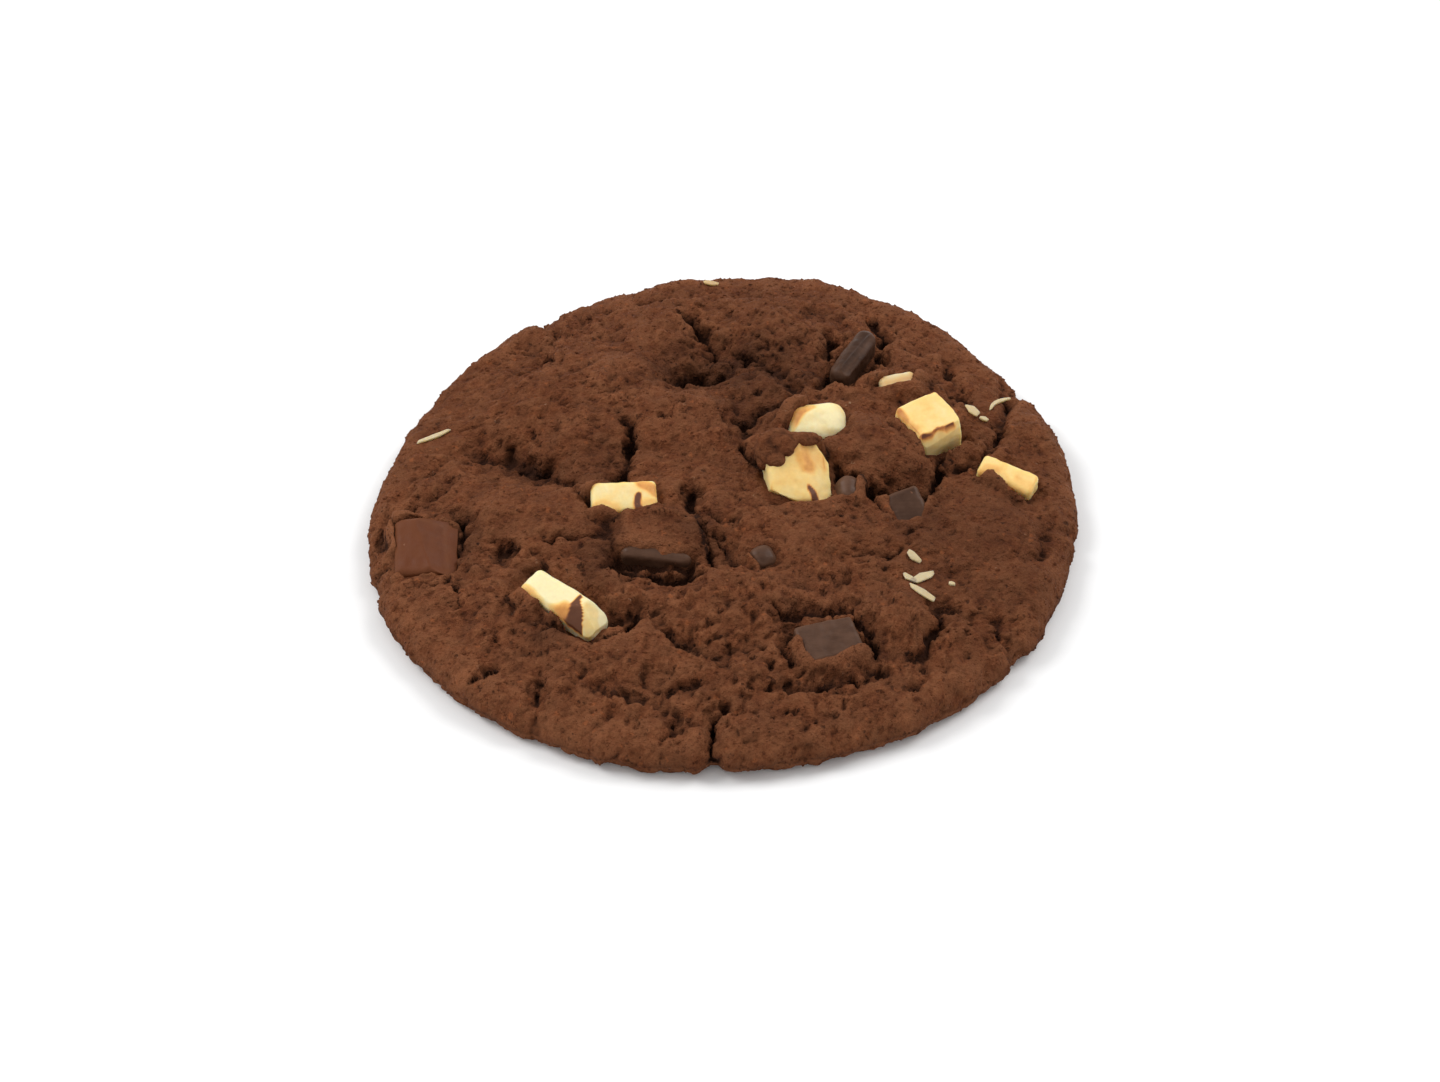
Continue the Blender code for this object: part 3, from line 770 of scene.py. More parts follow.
@dataclass
class Graph:
    """One shader tree, to which it adds joined nodes."""

    tree: NodeTree

    def feed(self, node: bpy.types.Node, inputs: dict) -> None:
        """Joins sockets to a node's inputs, and sets the inputs that get a plain value.

        Args:
            node: the node that is fed.
            inputs: values or source sockets by input name or number.
        """
        for name, value in inputs.items():
            if isinstance(value, Socket):
                self.tree.links.new(value, node.inputs[name])
            else:
                node.inputs[name].default_value = value

    def add(self, kind: str, inputs: dict | None = None, **settings) -> bpy.types.Node:
        """Adds a node.

        Args:
            kind: the node's type name.
            inputs: as for feed.
            **settings: the node's own properties.

        Returns:
            The new node.
        """
        node = self.tree.nodes.new(kind)
        for name, value in settings.items():
            setattr(node, name, value)
        self.feed(node, inputs or {})
        return node

    def blend(self, share: Number, first: Colour, second: Colour, mode: str = "MIX") -> Socket:
        """Mixes two colours, of which share of the second, at the Mix node's colour sockets.

        Args:
            share: a number or a socket from 0 to 1.
            first: a colour or a socket.
            second: a colour or a socket.
            mode: the blend type.

        Returns:
            The colour's socket.
        """
        node = self.add("ShaderNodeMix", data_type="RGBA", blend_type=mode)
        colours = [value if isinstance(value, Socket) else (*value, 1.0) for value in (first, second)]
        self.feed(node, {0: share, 6: colours[0], 7: colours[1]})
        return node.outputs[2]

    def maths(self, operation: str, first: Number, second: Number = 0.0, clamp: bool = False) -> Socket:
        """One arithmetic step on numbers or sockets, as the socket of its result."""
        node = self.add("ShaderNodeMath", {0: first, 1: second}, operation=operation, use_clamp=clamp)
        return node.outputs[0]

    def vector(self, operation: str, first: Colour, second: Colour) -> Socket:
        """One arithmetic step on vectors or sockets, as the socket of its result."""
        return self.add("ShaderNodeVectorMath", {0: first, 1: second}, operation=operation).outputs[0]

    def total(self, parts: tuple[tuple[Socket, float], ...]) -> Socket:
        """The sum of several sockets.

        Args:
            parts: each socket with the number that it is multiplied by.

        Returns:
            The sum's socket.
        """
        sums = [self.maths("MULTIPLY", socket, share) for socket, share in parts]
        whole = sums[0]
        for part in sums[1:]:
            whole = self.maths("ADD", whole, part)
        return whole

    def spread(
        self, value: Socket, low: float, high: float, start: float = 0.0, end: float = 1.0
    ) -> Socket:
        """Maps low to high onto start to end and holds what is beyond them."""
        inputs = {"Value": value, "From Min": low, "From Max": high, "To Min": start, "To Max": end}
        return self.add("ShaderNodeMapRange", inputs).outputs["Result"]

    def ramp(self, value: Socket, stops: tuple[tuple[float, Triple], ...]) -> Socket:
        """A colour ramp.

        Args:
            value: the socket that it reads.
            stops: pairs of a position and a colour, in rising order.

        Returns:
            The colour's socket.
        """
        node = self.add("ShaderNodeValToRGB", {"Fac": value})
        elements = node.color_ramp.elements
        while len(elements) < len(stops):
            elements.new(1.0)
        for element, (position, colour) in zip(elements, stops):
            element.position = position
            element.color = (*colour, 1.0)
        return node.outputs["Color"]

    def attribute(self, name: str) -> Socket:
        """The number that the mesh holds under this name, or 0 where it holds none."""
        return self.add("ShaderNodeAttribute", attribute_name=name).outputs["Fac"]

    def millimetres(self) -> Socket:
        """Object coordinates counted in millimetres."""
        place = self.add("ShaderNodeTexCoord").outputs["Object"]
        return self.add("ShaderNodeMapping", {"Vector": place, "Scale": (1.0 / MM,) * 3}).outputs[0]

    def bump(self, height: Socket, strength: float, distance: float) -> Socket:
        """The normal that a height from 0 to 1 gives over a distance in metres."""
        inputs = {"Strength": strength, "Distance": distance, "Height": height}
        return self.add("ShaderNodeBump", inputs).outputs["Normal"]


def new_group(name: str, inputs: dict[str, float | None], outputs: tuple[str, ...]) -> Graph:
    """An empty shader node group.

    Args:
        name: the group's name.
        inputs: each number input with its value, and a vector input with None.
        outputs: the number outputs.

    Returns:
        The group's graph.
    """
    tree = bpy.data.node_groups.new(name, "ShaderNodeTree")
    for label, value in inputs.items():
        kind = "NodeSocketVector" if value is None else "NodeSocketFloat"
        socket = tree.interface.new_socket(label, in_out="INPUT", socket_type=kind)
        if value is not None:
            socket.default_value = value
    for label in outputs:
        tree.interface.new_socket(label, in_out="OUTPUT", socket_type="NodeSocketFloat")
    return Graph(tree)


@dataclass(frozen=True)
class Grain:
    """Grain in a finish: the size of its blots in mm, and its contrast round one half."""

    size: float
    contrast: float


@dataclass(frozen=True)
class Specks:
    """Scattered specks: their cells' size in mm, the share of cells with one, its radius in cells."""

    spacing: float
    share: float
    radius: float


@dataclass(frozen=True)
class Effects:
    """The shader node groups that more than one finish uses."""

    grain_group: NodeTree
    speck_group: NodeTree

    @staticmethod
    def make() -> "Effects":
        """Builds each group once."""
        return Effects(Effects.new_grain_group(), Effects.new_speck_group())

    @staticmethod
    def new_grain_group() -> NodeTree:
        """Fine grain: fractal noise of a given size, with its contrast round one half.

        Returns:
            A group with inputs Vector, Size and Contrast and outputs Grain and Height.
        """
        graph = new_group("grain", {"Vector": None, "Size": 1.0, "Contrast": 1.0}, ("Grain", "Height"))
        given = graph.add("NodeGroupInput").outputs
        scale = graph.maths("DIVIDE", 1.0, given["Size"])
        inputs = {"Vector": given["Vector"], "Scale": scale, "Detail": 3.0, "Roughness": 0.6}
        noise = graph.add("ShaderNodeTexNoise", inputs).outputs["Fac"]
        centred = graph.maths("SUBTRACT", noise, 0.5)
        stretched = graph.maths("MULTIPLY", centred, given["Contrast"])
        grain = graph.maths("ADD", stretched, 0.5, clamp=True)
        graph.add("NodeGroupOutput", {"Grain": grain, "Height": noise})
        return graph.tree

    @staticmethod
    def new_speck_group() -> NodeTree:
        """Scattered ragged specks: a share of the cells of a cellular pattern, each a small blot.

        Returns:
            A group with inputs Vector, Spacing, Share and Radius and the output Mask.
        """
        drift_scale, drift_reach, edge_sharpness = 2.2, 0.9, 9.0
        values = {"Vector": None, "Spacing": 2.0, "Share": 0.1, "Radius": 0.2}
        graph = new_group("specks", values, ("Mask",))
        given = graph.add("NodeGroupInput").outputs
        spacing = graph.add("ShaderNodeCombineXYZ", {n: given["Spacing"] for n in range(3)}).outputs[0]
        place = graph.vector("DIVIDE", given["Vector"], spacing)
        inputs = {"Vector": place, "Scale": drift_scale, "Detail": 2.0}
        drift = graph.add("ShaderNodeTexNoise", inputs).outputs["Color"]
        drift = graph.vector("SUBTRACT", drift, (0.5,) * 3)
        drift = graph.vector("MULTIPLY", drift, (drift_reach,) * 3)
        drifted = graph.vector("ADD", place, drift)
        cells = graph.add("ShaderNodeTexVoronoi", {"Vector": drifted, "Scale": 1.0})
        draw = graph.add("ShaderNodeSeparateColor", {"Color": cells.outputs["Color"]}).outputs
        chosen = graph.maths("LESS_THAN", draw[0], given["Share"])
        radius = graph.maths("MULTIPLY", given["Radius"], graph.maths("ADD", draw[1], 0.5))
        inner = graph.maths("SUBTRACT", radius, cells.outputs["Distance"])
        blot = graph.maths("MULTIPLY", inner, edge_sharpness, clamp=True)
        graph.add("NodeGroupOutput", {"Mask": graph.maths("MULTIPLY", chosen, blot)})
        return graph.tree

    def grain(self, graph: Graph, place: Socket, grain: Grain) -> bpy.types.Node:
        """Places the grain group, as a node with the outputs Grain and Height."""
        inputs = {"Vector": place, "Size": grain.size, "Contrast": grain.contrast}
        return graph.add("ShaderNodeGroup", inputs, node_tree=self.grain_group)

    def specks(self, graph: Graph, place: Socket, specks: Specks) -> Socket:
        """Places the speck group, as the socket of its mask."""
        inputs = {"Vector": place, "Spacing": specks.spacing, "Share": specks.share, "Radius": specks.radius}
        return graph.add("ShaderNodeGroup", inputs, node_tree=self.speck_group).outputs["Mask"]


def new_material(name: str) -> tuple[Material, Graph, bpy.types.Node]:
    """A material whose nodes are ready to be added to.

    Args:
        name: the material's name.

    Returns:
        The material, its graph, and its Principled shader.
    """
    material = bpy.data.materials.new(name)
    material.use_nodes = True
    graph = Graph(material.node_tree)
    return material, graph, material.node_tree.nodes["Principled BSDF"]


@dataclass(frozen=True)
class DoughFinish:
    """Baked dark dough: sandy and matt, with a few pale specks; shade is painted near black into its cracks,
    pits and hollows, and light onto its crests and rim.
    """

    effects: Effects
    light: Triple = (0.212, 0.076, 0.0315)
    crust: Triple = (0.138, 0.0425, 0.0158)
    shade: Triple = (0.078, 0.0215, 0.0078)
    # The near black that painted shade mixes in
    deep: Triple = (0.016, 0.0048, 0.0020)
    russet: Triple = (0.27, 0.080, 0.027)
    neutral: Triple = (0.128, 0.050, 0.0225)
    speck: Triple = (0.50, 0.33, 0.20)
    glint: Triple = (0.36, 0.21, 0.13)
    grains: tuple[Grain, ...] = (Grain(4.5, 2.2), Grain(1.2, 2.2), Grain(0.45, 2.8))
    patches: Grain = Grain(2.4, 3.6)
    patch_share: float = 0.48
    russet_specks: Specks = Specks(1.3, 0.24, 0.24)
    glint_specks: Specks = Specks(1.5, 0.12, 0.11)
    speck_share: float = 0.5
    pale_specks: Specks = Specks(4.6, 0.06, 0.07)
    pits: Specks = Specks(1.9, 0.42, 0.17)
    pinholes: Specks = Specks(0.9, 0.25, 0.20)
    deepest_share: float = 0.95
    roughness: Pair = (0.72, 0.95)

    def colour(self, graph: Graph, place: Socket, grains: tuple[Socket, ...]) -> Socket:
        """The colour before the painted shade is mixed in.

        Args:
            graph: the material's graph.
            place: the socket of the place in mm.
            grains: the sockets of the coarse, sandy and fine grain.

        Returns:
            The colour's socket.
        """
        coarse, sandy, fine = grains
        # The tone brings painted highlights on crests and painted light at the rim, besides blotches that
        # vary at random
        tone = graph.total(((graph.attribute("tone"), 1.0), (coarse, 0.36), (sandy, 0.38), (fine, 0.26)))
        colour = graph.ramp(tone, ((0.20, self.shade), (0.5, self.crust), (0.88, self.light)))
        patches = self.effects.grain(graph, place, self.patches).outputs["Grain"]
        colour = graph.blend(graph.maths("MULTIPLY", patches, self.patch_share), colour, self.neutral)
        for specks, paint in ((self.russet_specks, self.russet), (self.glint_specks, self.glint)):
            mask = self.effects.specks(graph, place, specks)
            colour = graph.blend(graph.maths("MULTIPLY", mask, self.speck_share), colour, paint)
        return graph.blend(self.effects.specks(graph, place, self.pale_specks), colour, self.speck)

    def material(self) -> Material:
        """Builds the material, which reads the mesh's attributes of painted shade, tone and cracks.

        Returns:
            The material.
        """
        material, graph, shader = new_material("baked_dough")
        place = graph.millimetres()
        coarse, sandy, fine = (self.effects.grain(graph, place, grain) for grain in self.grains)
        colour = self.colour(graph, place, tuple(node.outputs["Grain"] for node in (coarse, sandy, fine)))
        # Painted shade: the mesh's shade attribute, the pits, the pinholes and the crack lines darken the
        # colour towards near black
        pits = self.effects.specks(graph, place, self.pits)
        pinholes = self.effects.specks(graph, place, self.pinholes)
        given = graph.attribute("crack")
        ragged = graph.total(((given, 1.0), (sandy.outputs["Grain"], 0.30), (fine.outputs["Grain"], 0.22)))
        line = graph.spread(ragged, 0.60, 1.10)
        given = graph.attribute("painted_shade")
        painted_shade = graph.total(((given, 1.0), (pits, 0.55), (pinholes, 0.40), (line, 0.66)))
        painted_shade = graph.maths("MINIMUM", painted_shade, self.deepest_share)
        relief = graph.total((
            (sandy.outputs["Height"], 0.75), (fine.outputs["Height"], 0.50),
            (pits, -0.20), (pinholes, -0.10), (line, -0.25),
        ))
        graph.feed(shader, {
            "Base Color": graph.blend(painted_shade, colour, self.deep),
            "Roughness": graph.spread(sandy.outputs["Grain"], 0.0, 1.0, *self.roughness),
            "Normal": graph.bump(relief, 1.0, MM),
            "Specular IOR Level": 0.1,
        })
        return material


@dataclass(frozen=True)
class WhiteFinish:
    """White chocolate: cream, a little waxy, toasted orange to brown where the oven caught it."""

    effects: Effects
    pale: Triple = (0.80, 0.70, 0.41)
    butter: Triple = (0.79, 0.62, 0.29)
    gold: Triple = (0.82, 0.56, 0.20)
    toast: Triple = (0.74, 0.38, 0.10)
    brown: Triple = (0.46, 0.17, 0.045)
    dark: Triple = (0.18, 0.062, 0.024)
    dough: Triple = (0.12, 0.040, 0.016)
    dust_and_shade_colour: Triple = (0.40, 0.27, 0.17)
    patches: Grain = Grain(2.2, 1.6)
    fine: Grain = Grain(0.5, 1.4)
    toast_drift: float = 0.12
    mottle: Pair = (0.92, 1.04)
    crumbs: Specks = Specks(2.6, 0.10, 0.07)
    roughness: Pair = (0.42, 0.62)
    bump_strength: float = 0.35
    bump_distance: float = 0.00018

    def material(self) -> Material:
        """Builds the material, which reads the mesh's toast and dust attributes.

        Returns:
            The material.
        """
        material, graph, shader = new_material("white_chocolate")
        place = graph.millimetres()
        patches = self.effects.grain(graph, place, self.patches).outputs
        fine = self.effects.grain(graph, place, self.fine).outputs
        drift = graph.spread(patches["Grain"], 0.0, 1.0, -self.toast_drift, self.toast_drift)
        toast = graph.maths("ADD", graph.attribute("toast"), drift, clamp=True)
        stops = (
            (0.02, self.pale), (0.16, self.butter), (0.32, self.gold), (0.52, self.toast),
            (0.70, self.brown), (0.84, self.dark), (0.95, self.dough),
        )
        colour = graph.ramp(toast, stops)
        mottle = graph.spread(fine["Grain"], 0.0, 1.0, *self.mottle)
        grey = graph.add("ShaderNodeCombineColor", {0: mottle, 1: mottle, 2: mottle}).outputs[0]
        colour = graph.blend(1.0, colour, grey, "MULTIPLY")
        # Dust greys the colour; on one chunk this is partly painted shade
        colour = graph.blend(graph.attribute("dust_and_shade"), colour, self.dust_and_shade_colour)
        graph.feed(shader, {
            "Base Color": graph.blend(self.effects.specks(graph, place, self.crumbs), colour, self.brown),
            "Roughness": graph.spread(patches["Grain"], 0.0, 1.0, *self.roughness),
            "Normal": graph.bump(patches["Height"], self.bump_strength, self.bump_distance),
            "Specular IOR Level": 0.3,
            "Subsurface Weight": 0.5,
            "Subsurface Radius": (1.0, 0.75, 0.4),
            "Subsurface Scale": 0.0028,
        })
        return material


@dataclass(frozen=True)
class CocoaFinish:
    """Dark or milk chocolate: satin, with a dull bloom and edges rubbed paler."""

    effects: Effects
    name: str
    body: Triple
    bloom: Triple
    gloss: float
    crumb: Triple = (0.20, 0.085, 0.045)
    clouds: Grain = Grain(2.6, 2.6)
    fine: Grain = Grain(0.6, 1.6)
    streaks: Grain = Grain(1.4, 2.6)
    streak_turn: float = 1.1
    streak_scale: Triple = (0.25, 1.6, 0.6)
    rubbed_share: float = 0.5
    crumbs: Specks = Specks(1.5, 0.22, 0.13)
    crumb_share: float = 0.7
    roughness_spread: float = 0.2
    bump_strength: float = 0.4
    bump_distance: float = 0.00015

    def material(self) -> Material:
        """Builds the material, which reads the mesh's edge and dust attributes.

        Returns:
            The material.
        """
        material, graph, shader = new_material(self.name)
        place = graph.millimetres()
        clouds = self.effects.grain(graph, place, self.clouds).outputs
        fine = self.effects.grain(graph, place, self.fine).outputs
        inputs = {"Vector": place, "Rotation": (0.0, 0.0, self.streak_turn), "Scale": self.streak_scale}
        drawn = graph.add("ShaderNodeMapping", inputs).outputs[0]
        streaks = self.effects.grain(graph, drawn, self.streaks).outputs
        haze = graph.total(((clouds["Grain"], 0.34), (streaks["Grain"], 0.24), (fine["Grain"], 0.14)))
        edge = graph.maths("MULTIPLY", graph.attribute("edge"), self.rubbed_share)
        edge = graph.maths("ADD", edge, graph.attribute("dust_and_shade"))
        haze = graph.maths("ADD", haze, edge, clamp=True)
        colour = graph.blend(haze, self.body, self.bloom)
        crumbs = graph.maths("MULTIPLY", self.effects.specks(graph, place, self.crumbs), self.crumb_share)
        dull = self.gloss + self.roughness_spread
        graph.feed(shader, {
            "Base Color": graph.blend(crumbs, colour, self.crumb),
            "Roughness": graph.spread(clouds["Grain"], 0.0, 1.0, self.gloss, dull),
            "Normal": graph.bump(fine["Height"], self.bump_strength, self.bump_distance),
            "Specular IOR Level": 0.15,
        })
        return material


def grid_faces(index: Array) -> Array:
    """The squares of a grid of points, each with its corners in turn.

    Args:
        index: the points' numbers, laid out as the grid.

    Returns:
        Four numbers for each square.
    """
    corners = [index[:-1, :-1], index[1:, :-1], index[1:, 1:], index[:-1, 1:]]
    return np.stack(corners, axis=-1).reshape(-1, 4)


def ring_faces(rings: int, columns: int) -> list[Array]:
    """The faces of a closed shell: a first point, rings of points, and a last point.

    Args:
        rings, columns: how many rings there are, and how many points each has.

    Returns:
        The squares between the rings, and the triangles that close both ends.
    """
    ring = 1 + np.arange(rings * columns).reshape(rings, columns)
    beside = np.roll(ring, -1, axis=1)
    quads = np.stack([ring[:-1], ring[1:], beside[1:], beside[:-1]], axis=-1).reshape(-1, 4)
    top = np.stack([np.zeros(columns, int), ring[0], beside[0]], axis=-1)
    under = np.stack([np.full(columns, rings * columns + 1), beside[-1], ring[-1]], axis=-1)
    return [quads, np.concatenate([top, under])]


def join_shells(shells: list[Shell]) -> Shell:
    """Joins shells in one.

    Args:
        shells: each one's points, and its squares and triangles.

    Returns:
        All the points, and all the squares and triangles with their numbers moved on.
    """
    starts = np.cumsum([0] + [len(points) for points, _ in shells])
    moved = [[block + start for block in faces] for (_, faces), start in zip(shells, starts)]
    return np.concatenate([points for points, _ in shells]), [np.concatenate(kind) for kind in zip(*moved)]


def read(items: bpy.types.bpy_prop_collection, name: str, kind: type = np.float32) -> Array:
    """One property of a mesh's items.

    Args:
        items: its vertices, loops, faces or an attribute's data.
        name: the property.
        kind: the type of its numbers.

    Returns:
        One value for each item, or one row of three for a place or a normal.
    """
    width = 3 if name in ("normal", "center") else 1
    values = np.empty(len(items) * width, kind)
    items.foreach_get(name, values)
    return values.reshape(-1, 3).astype(float) if width == 3 else values


def set_places(mesh: Mesh, points: Array) -> None:
    """Puts a mesh's vertices at places in mm, in the tables' place."""
    mesh.vertices.foreach_set("co", to_metres(points).astype(np.float32).ravel())


def set_numbers(mesh: Mesh, numbers: dict[str, Array]) -> None:
    """Gives a mesh attributes.

    Args:
        mesh: the mesh.
        numbers: attributes by name, one value for each vertex.
    """
    for label, values in numbers.items():
        layer = mesh.attributes.new(label, "FLOAT", "POINT")
        layer.data.foreach_set("value", values.astype(np.float32))


def new_piece(
    name: str,
    points: Array,
    faces: list[Array],
    material: Material,
    numbers: dict[str, Array] | None = None,
) -> Piece:
    """A smooth-shaded mesh object at the origin, riding on the root body.

    Args:
        name: the piece's name.
        points: vertices in mm, in the tables' place.
        faces: blocks of faces with the same count of corners, one face's vertex numbers a row.
        material: the finish.
        numbers: attributes by name, one value for each vertex.

    Returns:
        The new object.
    """
    mesh = bpy.data.meshes.new(name)
    mesh.vertices.add(len(points))
    set_places(mesh, points)
    corners = np.concatenate([block.ravel() for block in faces]).astype(np.int32)
    counts = np.concatenate([np.full(len(block), block.shape[1]) for block in faces])
    mesh.loops.add(len(corners))
    mesh.loops.foreach_set("vertex_index", corners)
    mesh.polygons.add(len(counts))
    starts = np.concatenate([[0], np.cumsum(counts)[:-1]]).astype(np.int32)
    mesh.polygons.foreach_set("loop_start", starts)
    mesh.update(calc_edges=True)
    mesh.shade_smooth()
    set_numbers(mesh, numbers or {})
    mesh.materials.append(material)
    piece = bpy.data.objects.new(name, mesh)
    bpy.context.scene.collection.objects.link(piece)
    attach(piece, ROOT)
    log.info("%s: %d faces", name, len(counts))
    return piece


@dataclass(frozen=True)
class DoughForm:
    """The shape that the baking gave the dough, over its plan, with its sizes in mm.

    A swing is the reach, the cell size and the seed of noise that wander adds to a place. A crack
    heals where the healing noise passes healing_by_gape times its gape, less healing_start.
    """

    chunks: tuple[Chunk, ...]
    mean_radius: float = 52.45
    equator_z: float = 2.2
    shoulder_width: float = 4.6
    shoulder_rise: float = 3.5
    crown_rise: float = 4.6
    shoulder_share: float = 0.12
    outward_share: float = 0.6
    side_crack_share: float = 0.7
    lobe_swings: tuple[Triple, ...] = ((0.8, 4.6, 91),)
    broad_knobs: PlanNoise = PlanNoise(7.5, 43)
    broad_knob_height: float = 0.45
    small_knobs: PlanNoise = PlanNoise(3.6, 44)
    small_knob_height: float = 0.35
    crack_swings: tuple[Triple, ...] = ((0.9, 4.0, 41), (0.5, 1.7, 51), (0.3, 0.8, 61))
    healing: PlanNoise = PlanNoise(2.4, 72)
    healing_start: float = 0.75
    healing_by_gape: float = 1.35
    healing_span: float = 0.5
    healed_share: float = 0.8
    closed_core: float = 0.35
    core_share: float = 0.85
    core_sharpness: float = 7.0
    full_core_depth: float = 1.6
    valley_share: float = 0.75
    crossing_share: float = 0.35
    unevenness: PlanNoise = PlanNoise(3.2, 71)
    unevenness_share: float = 0.35
    deepest_crack: float = 4.6
    bed_depth: float = 0.9
    bed_edge: float = 0.5
    lip_edge: float = 0.35
    lip_fall: float = 0.8
    lip_fade: float = 0.4

    def outline_radius(self, angle: Array) -> Array:
        """Distance from the middle to the outline: a circle with waves added and nicks taken out.

        Args:
            angle: directions in radians.

        Returns:
            One radius in mm for each direction.
        """
        radius = np.full_like(angle, self.mean_radius)
        for wave in OUTLINE:
            radius += wave.reach * np.cos(wave.count * (angle - np.radians(wave.peak)))
        for notch in NOTCHES:
            away = np.angle(np.exp(1j * (angle - np.radians(notch.turn))))
            radius -= notch.depth * np.exp(-((away / np.radians(notch.spread)) ** 2))
        return radius

    def swell(self, x: Array, y: Array) -> Array:
        """Height of the lobes, hollows and knobs above the plain dome, with the lobes' edges uneven.

        Args:
            x, y: places across and along, in mm.

        Returns:
            One height in mm for each place.
        """
        east, north = wander(x, y, self.lobe_swings)
        height = sum(lobe.rise(east, north) for lobe in LOBES.values())
        height += self.broad_knob_height * self.broad_knobs.at(x, y)
        return height + self.small_knob_height * self.small_knobs.at(x, y)

    def cracks(self, x: Array, y: Array) -> tuple[Array, Array]:
        """Depth of the creases and hairlines, each a bell with a narrow core.

        Noise of three sizes makes every line ragged. The less a crack gapes, the more of its
        length noise heals. The deepest crease counts in full, and those that cross it in part.
        Broader noise makes it deeper here and shallower there, down to the deepest allowed.

        Args:
            x, y: places across and along, in mm.

        Returns:
            One depth in mm for each place, and how near it is to a crack's core, from 0.
        """
        shifted = wander(x, y, self.crack_swings)
        healing = self.healing.at(x, y)
        depths, cores = [], []
        for crease in (*CREASES.values(), *HAIRLINES.values()):
            offset = crease.offset(*shifted)
            healed = healing + self.healing_start - self.healing_by_gape * crease.gape
            healed = smooth_step(healed / self.healing_span)
            widest = self.closed_core + (1.0 - self.closed_core) * crease.gape
            core = widest * (1.0 - self.healed_share * healed) * np.exp(-self.core_sharpness * offset)
            depths.append(crease.depth * (self.valley_share * np.exp(-offset) + self.core_share * core))
            cores.append(core * min(crease.depth / self.full_core_depth, 1.1))
        deepest = np.max(depths, axis=0)
        unevenness = 1.0 + self.unevenness_share * self.unevenness.at(x, y)
        depth = deepest + self.crossing_share * (np.sum(depths, axis=0) - deepest)
        return np.minimum(unevenness * depth, self.deepest_crack), unevenness * np.max(cores, axis=0)

    def dome_height(self, x: Array, y: Array) -> Array:
        """Height of the plain dome inside the shoulder: a parabola of the share of the way in.

        Args:
            x, y: places across and along, in mm.

        Returns:
            One height in mm for each place.
        """
        inset = self.outline_radius(np.arctan2(y, x)) - np.hypot(x, y)
        share = (inset - self.shoulder_width) / (self.mean_radius - self.shoulder_width)
        held = np.clip(share, 0.0, 1.0)
        return self.equator_z + self.shoulder_rise + self.crown_rise * (1.0 - (1.0 - held) ** 2)

    def round_chunks(self, x: Array, y: Array, height: Array) -> Array:
        """Sinks the dough round and under each chunk, then lays the lips over the chunks.

        A moat falls off as a bell of the distance from the block. Over the block the dough is
        pressed below its roof. A lip lifts it to a rounded crown, which falls away outside.

        Args:
            x, y: places across and along, in mm.
            height: heights of the dough there.

        Returns:
            The new heights.
        """
        for chunk in self.chunks:
            gap = np.maximum(chunk.distance(np.stack([x, y, height], axis=1)), 0.0)
            height = height - chunk.moat.depth * np.exp(-((gap / chunk.moat.width) ** 2))
            roof = chunk.roof(x, y)
            above = np.maximum(height - roof + self.bed_depth, 0.0)
            height = height - smooth_step(chunk.margin(x, y, roof) / self.bed_edge + 0.5) * above
        for chunk in self.chunks:
            roof = chunk.roof(x, y)
            for lip in chunk.drapes:
                reach = lip.reach(x, y)
                bulge = np.sqrt(np.maximum(1.0 - reach**2, 0.0))
                crown = roof - self.lip_edge + (lip.amount + self.lip_edge) * bulge
                crown = crown + self.lip_fall * np.minimum(chunk.margin(x, y, roof), 0.0)
                share = smooth_step((1.0 - reach) / self.lip_fade)
                height = height + share * np.maximum(crown - height, 0.0)
        return height

    def top_points(self, u: Array, v: Array) -> tuple[Array, Array, Array]:
        """The dough's top over a square grid of u and v from -1 to 1.

        Squares round the middle of the grid become rings round the middle of the dough. The
        outer rings follow a quarter ellipse down to the equator. Cracks also cut into the side.

        Args:
            u, v: grid places across and along.

        Returns:
            The points in mm, one a row, and each one's depth of cracks and nearness to their core.
        """
        ring = np.maximum(np.abs(u), np.abs(v))
        whole = np.where(ring > 0.0, ring, 1.0)
        side_on = np.abs(u) >= np.abs(v)
        slope = np.where(side_on, v, u) / whole * np.pi / 4.0
        sign = np.where(np.where(side_on, u, v) < 0.0, -1.0, 1.0)
        unit_x = np.where(side_on, sign * np.cos(slope), np.sin(slope))
        unit_y = np.where(side_on, np.sin(slope), sign * np.cos(slope))
        radius = self.outline_radius(np.arctan2(unit_y, unit_x))
        flat_share = 1.0 - self.shoulder_share
        lean = np.clip((ring - flat_share) / self.shoulder_share, 0.0, 1.0) * np.pi / 2.0
        reach = (radius - self.shoulder_width) * np.minimum(ring / flat_share, 1.0)
        reach = reach + self.shoulder_width * np.sin(lean)
        x, y = unit_x * reach, unit_y * reach
        plain = self.dome_height(x, y) - self.shoulder_rise * (1.0 - np.cos(lean))
        raised = self.swell(x, y)
        cracks, cores = self.cracks(x, y)
        out = np.sin(lean) * self.outward_share * (raised - self.side_crack_share * cracks)
        height = plain + np.cos(lean) * (raised - cracks)
        height = self.round_chunks(x, y, height)
        return np.stack([x + unit_x * out, y + unit_y * out, height], axis=1), cracks, cores

    def whole_height(self, x: Array, y: Array) -> Array:
        """Height of the top before its cracks and fine grain. The shoulder is an ellipse.

        Args:
            x, y: places across and along, in mm.

        Returns:
            One height in mm for each place.
        """
        inset = self.outline_radius(np.arctan2(y, x)) - np.hypot(x, y)
        sine = np.clip((self.shoulder_width - inset) / self.shoulder_width, 0.0, 1.0)
        cosine = np.sqrt(1.0 - sine**2)
        plain = self.dome_height(x, y) - self.shoulder_rise * (1.0 - cosine)
        return plain + cosine * self.swell(x, y)


